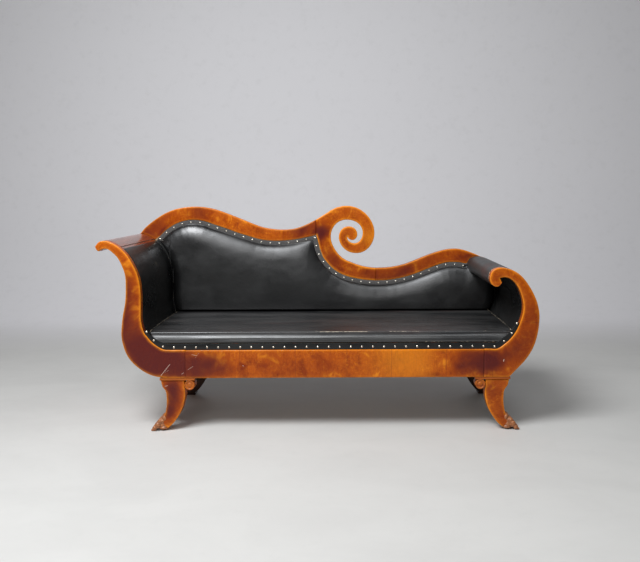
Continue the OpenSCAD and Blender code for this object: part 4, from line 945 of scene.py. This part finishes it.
def make_seat(material):
    """The seat: a rolled front, a worn welt along its lip, and a nearly flat top."""
    index = np.arange(len(SEAT_PROFILE))
    profile = picked(np.linspace(0, index[-1], 92), index, SEAT_PROFILE)
    share = np.linspace(-1, 1, 300)
    share = 0.5 + 0.5 * np.sign(share) * (1 - (1 - np.abs(share)) ** 1.25)
    y, z = profile.T[:, None]
    roll = y < SEAT_LIP_Y
    level = np.where(roll, z, SEAT_END_Z[-1])
    x_left, x_right = (np.interp(level, SEAT_END_Z, ends) for ends in (SEAT_LEFT, SEAT_RIGHT))
    x, y, z = np.broadcast_arrays(x_left + (x_right - x_left) * share[:, None], y, z)
    end = np.minimum(x - x_left, x_right - x)
    seam = np.exp(-((y - SEAT_LIP_Y) / 0.0035) ** 2)
    top = np.clip((y - SEAT_LIP_Y) / 0.03, 0, 1)
    # Folds that run out from the right front corner, over long and low waves
    angle, away = np.arctan2(y - FOLD_Y, FOLD_X - x), np.hypot(y - FOLD_Y, FOLD_X - x)
    fold = np.sin(angle * 9 + 5 * wrinkle(x, y, 0, (0.07, 0.07, 1), 6.0))
    fold *= np.exp(-away / 0.11) * np.minimum(away / 0.02, 1)
    rise = 0.0034 * fold
    for size, seed, height in (((0.40, 0.25, 1), 7.0, 0.0016), ((0.45, 0.035, 1), 2.0, 0.0006),
                               ((0.16, 0.012, 1), 4.0, 0.00015)):
        rise = rise + height * wrinkle(x, y, 0, size, seed)
    streak = 0.0010 * wrinkle(x, 0, z, (0.30, 1, 0.006), 8.0) * np.minimum(end / 0.05, 1)
    y = y - streak * (y < SEAT_LIP_Y - 0.003)
    z = z + top * rise
    z = z - top * 0.008 * (1 - swell(end, 0.008))
    z = z - (1 - top) * 0.003 * (1 - swell(end, 0.03)) * (z > 0.41)
    # Worn leather along the welt, the lower edge of the roll and the ends
    stitched = sum(strength * np.clip(np.minimum(x - low, high - x) / 0.03, 0, 1)
                   for low, high, strength in WORN_RUNS)
    worn = seam * np.maximum(stitched, 0.28)
    low_edge = np.clip(1 - np.abs(z - 0.3925) / 0.0035, 0, 1) * roll
    worn = np.maximum(worn, low_edge * (0.45 + 0.2 * (x > 0.35)))
    worn = np.maximum(worn, 0.55 * np.clip(1 - end / 0.005, 0, 1) * top)
    deep = np.linspace(profile[0, 0], SEAT_HIGH.y - 0.0004, len(profile))
    under = np.stack(np.broadcast_arrays(x, deep, SEAT_LOW.z + 0.0002), axis=2)
    pad = closed_pad("seat_pad_leather", np.stack([x, y, z], axis=2), under,
                     floats={"worn": worn, "shine": 0.3 * roll * np.ones(x.shape)})
    stuffed(pad, material, "seat_pad")


def skin(name, node, ends, y_high, bulge=0.0, folds=0.0, worn=None, uv=False):
    """A covering over a node's sheet form, up to y_high, swelling off its first edge."""
    inner, outer = two_edges(face_loop(node), *ends)
    y_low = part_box(node)[0].y
    n, m = max(int(lengths(inner)[-1] / 0.006), 12), 60
    line, rear = resampled(inner, n), resampled(outer, n)
    away = line - rear
    away /= np.maximum(np.linalg.norm(away, axis=1, keepdims=True), 1e-9)
    ys = crowded(y_low, y_high, m)
    run = lengths(line)[:, None]
    off_end = np.minimum(ys - y_low, y_high - ys)
    rise = bulge * swell(off_end, 0.05) * swell(np.minimum(run, run[-1] - run), 0.05)
    rise = rise - 0.0018 * (1 - swell(off_end, 0.006))
    if folds:
        rise = rise + folds * np.minimum(off_end / 0.03, 1) * (
            wrinkle(run, ys, 0, (0.05, 0.12, 1), len(name))
            + 0.35 * wrinkle(run, ys, 0, (0.016, 0.05, 1), 3.0))
    front = standing(line[:, None] + away[:, None] * rise[..., None], ys)
    floats = {"shine": np.full((n, m), 0.3)}
    if worn is not None:
        floats["worn"] = worn(run / run[-1], ys)
    grain = None
    if uv:
        grain = np.stack(np.broadcast_arrays(ys, run), axis=2)
        floats["edge"] = np.full((n, m), 0.02)
    return closed_pad(name, front, standing(rear[:, None], ys), grain, floats), inner


WELT_POINTS = 110
WELT_SIDES = 10


def piping(name, line, material, radius=0.0017, wear=0.47):
    """A worn welt of leather, sewn in along a line of points."""
    line = resampled(line, WELT_POINTS)
    turn = [2 * math.pi * k / WELT_SIDES for k in range(WELT_SIDES)]
    rings = []
    for p, d in zip(line, np.gradient(line, axis=0)):
        side = Vector(d).orthogonal().normalized()
        up = Vector(d).normalized().cross(side)
        rings.append([Vector(p) + radius * (side * math.cos(t) + up * math.sin(t)) for t in turn])
    worn = wear + 0.14 * wrinkle(np.arange(WELT_POINTS), 0, 0, (9, 1, 1))
    welt = rings_object(name, rings, floats={"worn": np.repeat(worn, WELT_SIDES)})
    finish_piece(welt, material)


ARM_ENDS = {
    "left": ((-0.7315, 0.4045), (-0.7440, 0.3946), (-0.8402, 0.7976), (-0.8517, 0.7865)),
    "right": ((0.8278, 0.4045), (0.8402, 0.3944), (0.8249, 0.6609), (0.8347, 0.6734)),
}


def make_arms(material):
    """Leather inside both arms, and the welts of the arms and the seat."""
    welt = leather("piping_leather", 1.5, (0.35, 0.5))
    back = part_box("left_arm_pad")[1].y - 0.0014

    def scratches(run, y):
        return 0.62 * np.exp(-((run - 0.72) / 0.07) ** 2 - ((y - 0.02) / 0.03) ** 2)

    for side, worn in (("left", scratches), ("right", None)):
        node = side + "_arm_pad"
        pad, inner = skin(side + "_arm_leather", node, ARM_ENDS[side], back, 0.003, 0.0009, worn)
        stuffed(pad, material, node)
        piping(side + "_arm_piping", standing(inner, back - 0.0012), welt)
    ys = np.linspace(SEAT_LIP_Y + 0.002, 0.280, 40)
    zs = np.interp(ys, *SEAT_TOP.T) + 0.0006
    for side, x in (("left", SEAT_LEFT[-1] + 0.0015), ("right", SEAT_RIGHT[-1] - 0.0015)):
        line = np.stack(np.broadcast_arrays(x, ys, zs), axis=1)
        piping("seat_piping_" + side, line, welt, 0.0019, 0.60)


def make_outer_sides(material):
    """The veneered outside of the high arm, and the leather outside of the low arm."""
    node = "left_arm_outer_panel"
    ends = ((-0.6836, 0.2380), (-0.6828, 0.2429), (-0.8893, 0.7925), (-0.8862, 0.7964))
    panel, _ = skin("left_arm_outer_veneer", node, ends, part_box(node)[1].y, uv=True)
    finish_piece(toned(panel, [], 0.15), veneer("outer_panel_veneer", (-0.15, 0.12), 61.0, 0.15),
                 node)
    node = "right_arm_outer_cover"
    ends = ((0.8499, 0.2622), (0.8463, 0.2657), (0.8360, 0.6982), (0.8339, 0.6936))
    cover, _ = skin("right_arm_outer_leather", node, ends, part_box(node)[1].y, 0.0, 0.0007)
    stuffed(cover, material, node)


def make_roll(material):
    """Leather over the right scroll, its lower edge worn through."""
    loop = face_loop("right_arm_roll")
    closed = resampled(np.concatenate([loop, loop[:1]]), 151)[:-1]
    x, z = closed.T
    area = 0.5 * np.sum(x * np.roll(z, -1) - z * np.roll(x, -1))
    out = -normals(np.concatenate([closed, closed[:1]]))[:-1] * np.sign(area)
    low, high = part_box("right_arm_roll")
    ys = crowded(low.y, high.y, 90)[:, None]
    away = np.linalg.norm(closed - loop[loop[:, 1].argmin()], axis=1)
    end = np.minimum(ys - low.y, high.y - ys)
    rise = (-0.0012 * (1 - swell(end, 0.008))
            + 0.0009 * wrinkle(x, ys, z, (0.05, 0.10, 0.05), 1.0)
            + 0.0035 * wrinkle(x, ys, 0, (0.03, 0.011, 1), 6.0) * np.exp(-(away / 0.010) ** 2))
    rings = standing(closed + out * rise[..., None], ys)
    worn = np.maximum(0.85 * np.exp(-(away / 0.008) ** 2), 0.6 * (end < 0.006))
    roll = rings_object("right_arm_roll_leather", rings,
                        floats={"worn": worn, "shine": np.full(worn.shape, 0.35)})
    stuffed(roll, material, "right_arm_roll")


# Trim and cloth

def make_trim():
    """Woven strips that cover the tacked edges, and their nails."""
    strip = cloth("gimp_weave", (0.160, 0.148, 0.138), (0.028, 0.027, 0.027), 0.0030, 0.6)
    seat = leather("seat_strip", 0.7, (0.35, 0.55))
    low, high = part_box("back_gimp_left")
    back_y, seat_y = (low.y - 0.0004, high.y), (GIMP_FACE - 0.0003, FRONT + 0.006)
    for node, ends, ys, material, spread, taper in (
        ("back_gimp_left", ((-0.8331, 0.8101), (-0.8195, 0.7929), (-0.0329, 0.8202),
                            (-0.0287, 0.7986)), back_y, strip, 0, 0),
        ("back_gimp_right", ((-0.0329, 0.8202), (-0.0472, 0.7951), (0.7223, 0.6735),
                             (0.7163, 0.6523)), back_y, strip, 0, 0),
        ("seat_gimp", ((-0.7569, 0.4409), (-0.7367, 0.4497), (0.8661, 0.4719),
                       (0.8456, 0.4798)), seat_y, seat, 0.22, 0.09),
    ):
        edges = two_edges(face_loop(node), *ends)
        piece = band(node + "_strip", *edges, *ys, 0.0008, spread, taper)
        finish_piece(piece, material, node)
    brass = metal("nail_brass", (0.84, 0.79, 0.68), (0.46, 0.38, 0.28), (0.26, 0.42))
    tacks = metal("dark_tacks", (0.09, 0.07, 0.055), (0.02, 0.015, 0.012))
    board = plain_wood("arm_top_veneer", (0.30, 0.060, 0.018), (0.10, 0.020, 0.010), 1, 0.22, 0.5)
    for node, material in (("back_nails", brass), ("seat_nails", brass),
                           ("left_arm_nails", tacks), ("left_arm_top_board", board)):
        dress(NODES[node], material)


def thin_sheet(name, xs, lower, upper, thick, level, upright=False):
    """A stretched cloth between two edges over x, lying at a height or standing at a depth."""
    x, across = np.broadcast_arrays(xs[:, None], np.linspace(lower, upper, 40, axis=-1))
    give = thick * 0.12 * wrinkle(x, across, 0, (0.05, 0.05, 1), 2.0)
    axes = [0, 2, 1] if upright else [0, 1, 2]
    return closed_pad(name, *(np.stack([x, across, level + off + give], axis=2)[..., axes]
                              for off in (0, thick)))


def make_backing():
    """Hessian and webbing under the seat and behind the back, and the back's outer cloth."""
    jute = cloth("hessian_weave", (0.48, 0.36, 0.20), (0.22, 0.15, 0.08), 0.0022)
    low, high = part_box("seat_hessian")
    sheet = thin_sheet("seat_hessian_cloth", np.linspace(low.x, high.x, 60), low.y, high.y,
                       0.0010, low.z + 0.0001)
    finish_piece(sheet, jute, "seat_hessian")
    black = cloth("back_cloth", (0.030, 0.030, 0.033), (0.010, 0.010, 0.011), 0.0011)
    for node, material, slot in (("back_hessian", jute, "hessian"),
                                 ("back_cover", black, "black_cloth")):
        low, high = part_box(node)
        grid = np.linspace(low.x + 0.0002, high.x - 0.0002, 400)
        feet, tops = heights(face_loop(node), grid)
        xs = np.linspace(grid[0], grid[-1], 60)
        sheet = thin_sheet(node + "_cloth", xs, np.interp(xs, grid, feet),
                           np.interp(xs, grid, tops), high.y - low.y - 0.0003, low.y + 0.0001,
                           upright=True)
        finish_piece(sheet, material, node)
    for node, axis in (("webbing_long", "Y"), ("webbing_cross", "X")):
        dress(NODES[node], webbing(node + "_weave", axis))


# Studio

def make_stage():
    """A floor that bends up into a backdrop."""
    depth, height, half, bend = 3.4, 5.0, 7.0, 1.3
    line = [(-5.0, 0.0)] + [(depth - bend + bend * math.sin(t), bend - bend * math.cos(t))
                            for t in np.linspace(0, math.pi / 2, 24)] + [(depth, height)]
    verts = [(x, y, z) for y, z in line for x in (-half, half)]
    faces = [(2 * i, 2 * i + 1, 2 * i + 3, 2 * i + 2) for i in range(len(line) - 1)]
    floor = new_object("studio_sweep", verts, faces)
    dress(floor, studio_floor("studio_floor"))


def soft_light(name, place, target, size, power, color=(1, 1, 1)):
    data = bpy.data.lights.new(name, "AREA")
    data.shape = "RECTANGLE"
    data.size, data.size_y = size
    data.energy = power
    data.color = color
    light = linked(name, data)
    light.location = place
    aim = Vector(target) - Vector(place)
    light.rotation_euler = aim.to_track_quat("-Z", "Y").to_euler()


def make_lights():
    world = bpy.data.worlds.new("studio")
    world.use_nodes = True
    background = world.node_tree.nodes["Background"].inputs
    background["Color"].default_value = (0.95, 0.97, 1.0, 1)
    background["Strength"].default_value = 0.055
    bpy.context.scene.world = world
    soft_light("key", (-1.25, -2.0, 3.4), (0.1, 0.1, 0.4), (1.9, 1.3), 172, (0.95, 0.97, 1))
    soft_light("front", (-0.4, -4.6, 3.0), (0.2, 1.0, 0.7), (2.0, 1.5), 36)
    soft_light("top", (1.3, -1.1, 3.2), (0.3, 0.3, 0.5), (2.2, 0.7), 16, (0.96, 0.98, 1))
    bpy.context.scene.view_settings.view_transform = "Standard"


FRAME_WIDTH = 640
FOCAL = 748
SHIFT = -25
PITCH_DOWN = 6.5587
ROLL = 0.25


def make_camera():
    """The photograph's view, with its focal length and shift in the frame's pixels."""
    data = bpy.data.cameras.new("camera")
    data.sensor_width = 36.0
    data.lens = FOCAL / FRAME_WIDTH * 36.0
    data.shift_x = SHIFT / FRAME_WIDTH
    camera = linked("camera", data)
    camera.location = (0.11466, -3.5022, 1.02295)
    camera.rotation_euler = (math.radians(90 - PITCH_DOWN), math.radians(ROLL), 0)
    bpy.context.scene.camera = camera


make_camera()
make_stage()
make_lights()
make_frames()
make_crest()
make_legs()
make_hidden_wood()
# The back's leather is made much darker than the others, as painted shade
make_back_pad(leather("back_leather", 0.12, (0.36, 0.49), gloss=0.80))
make_seat(leather("seat_leather", 1.5, (0.36, 0.55), (0.6, 2.2, 2.2), red=0.25, gloss=1.0))
make_arms(leather("arm_leather", 1.0, (0.26, 0.5)))
make_outer_sides(leather("outer_leather", 1.2, (0.3, 0.55)))
make_roll(leather("roll_leather", 2.6, (0.38, 0.60), crease=0.3, red=0.5))
make_trim()
make_backing()
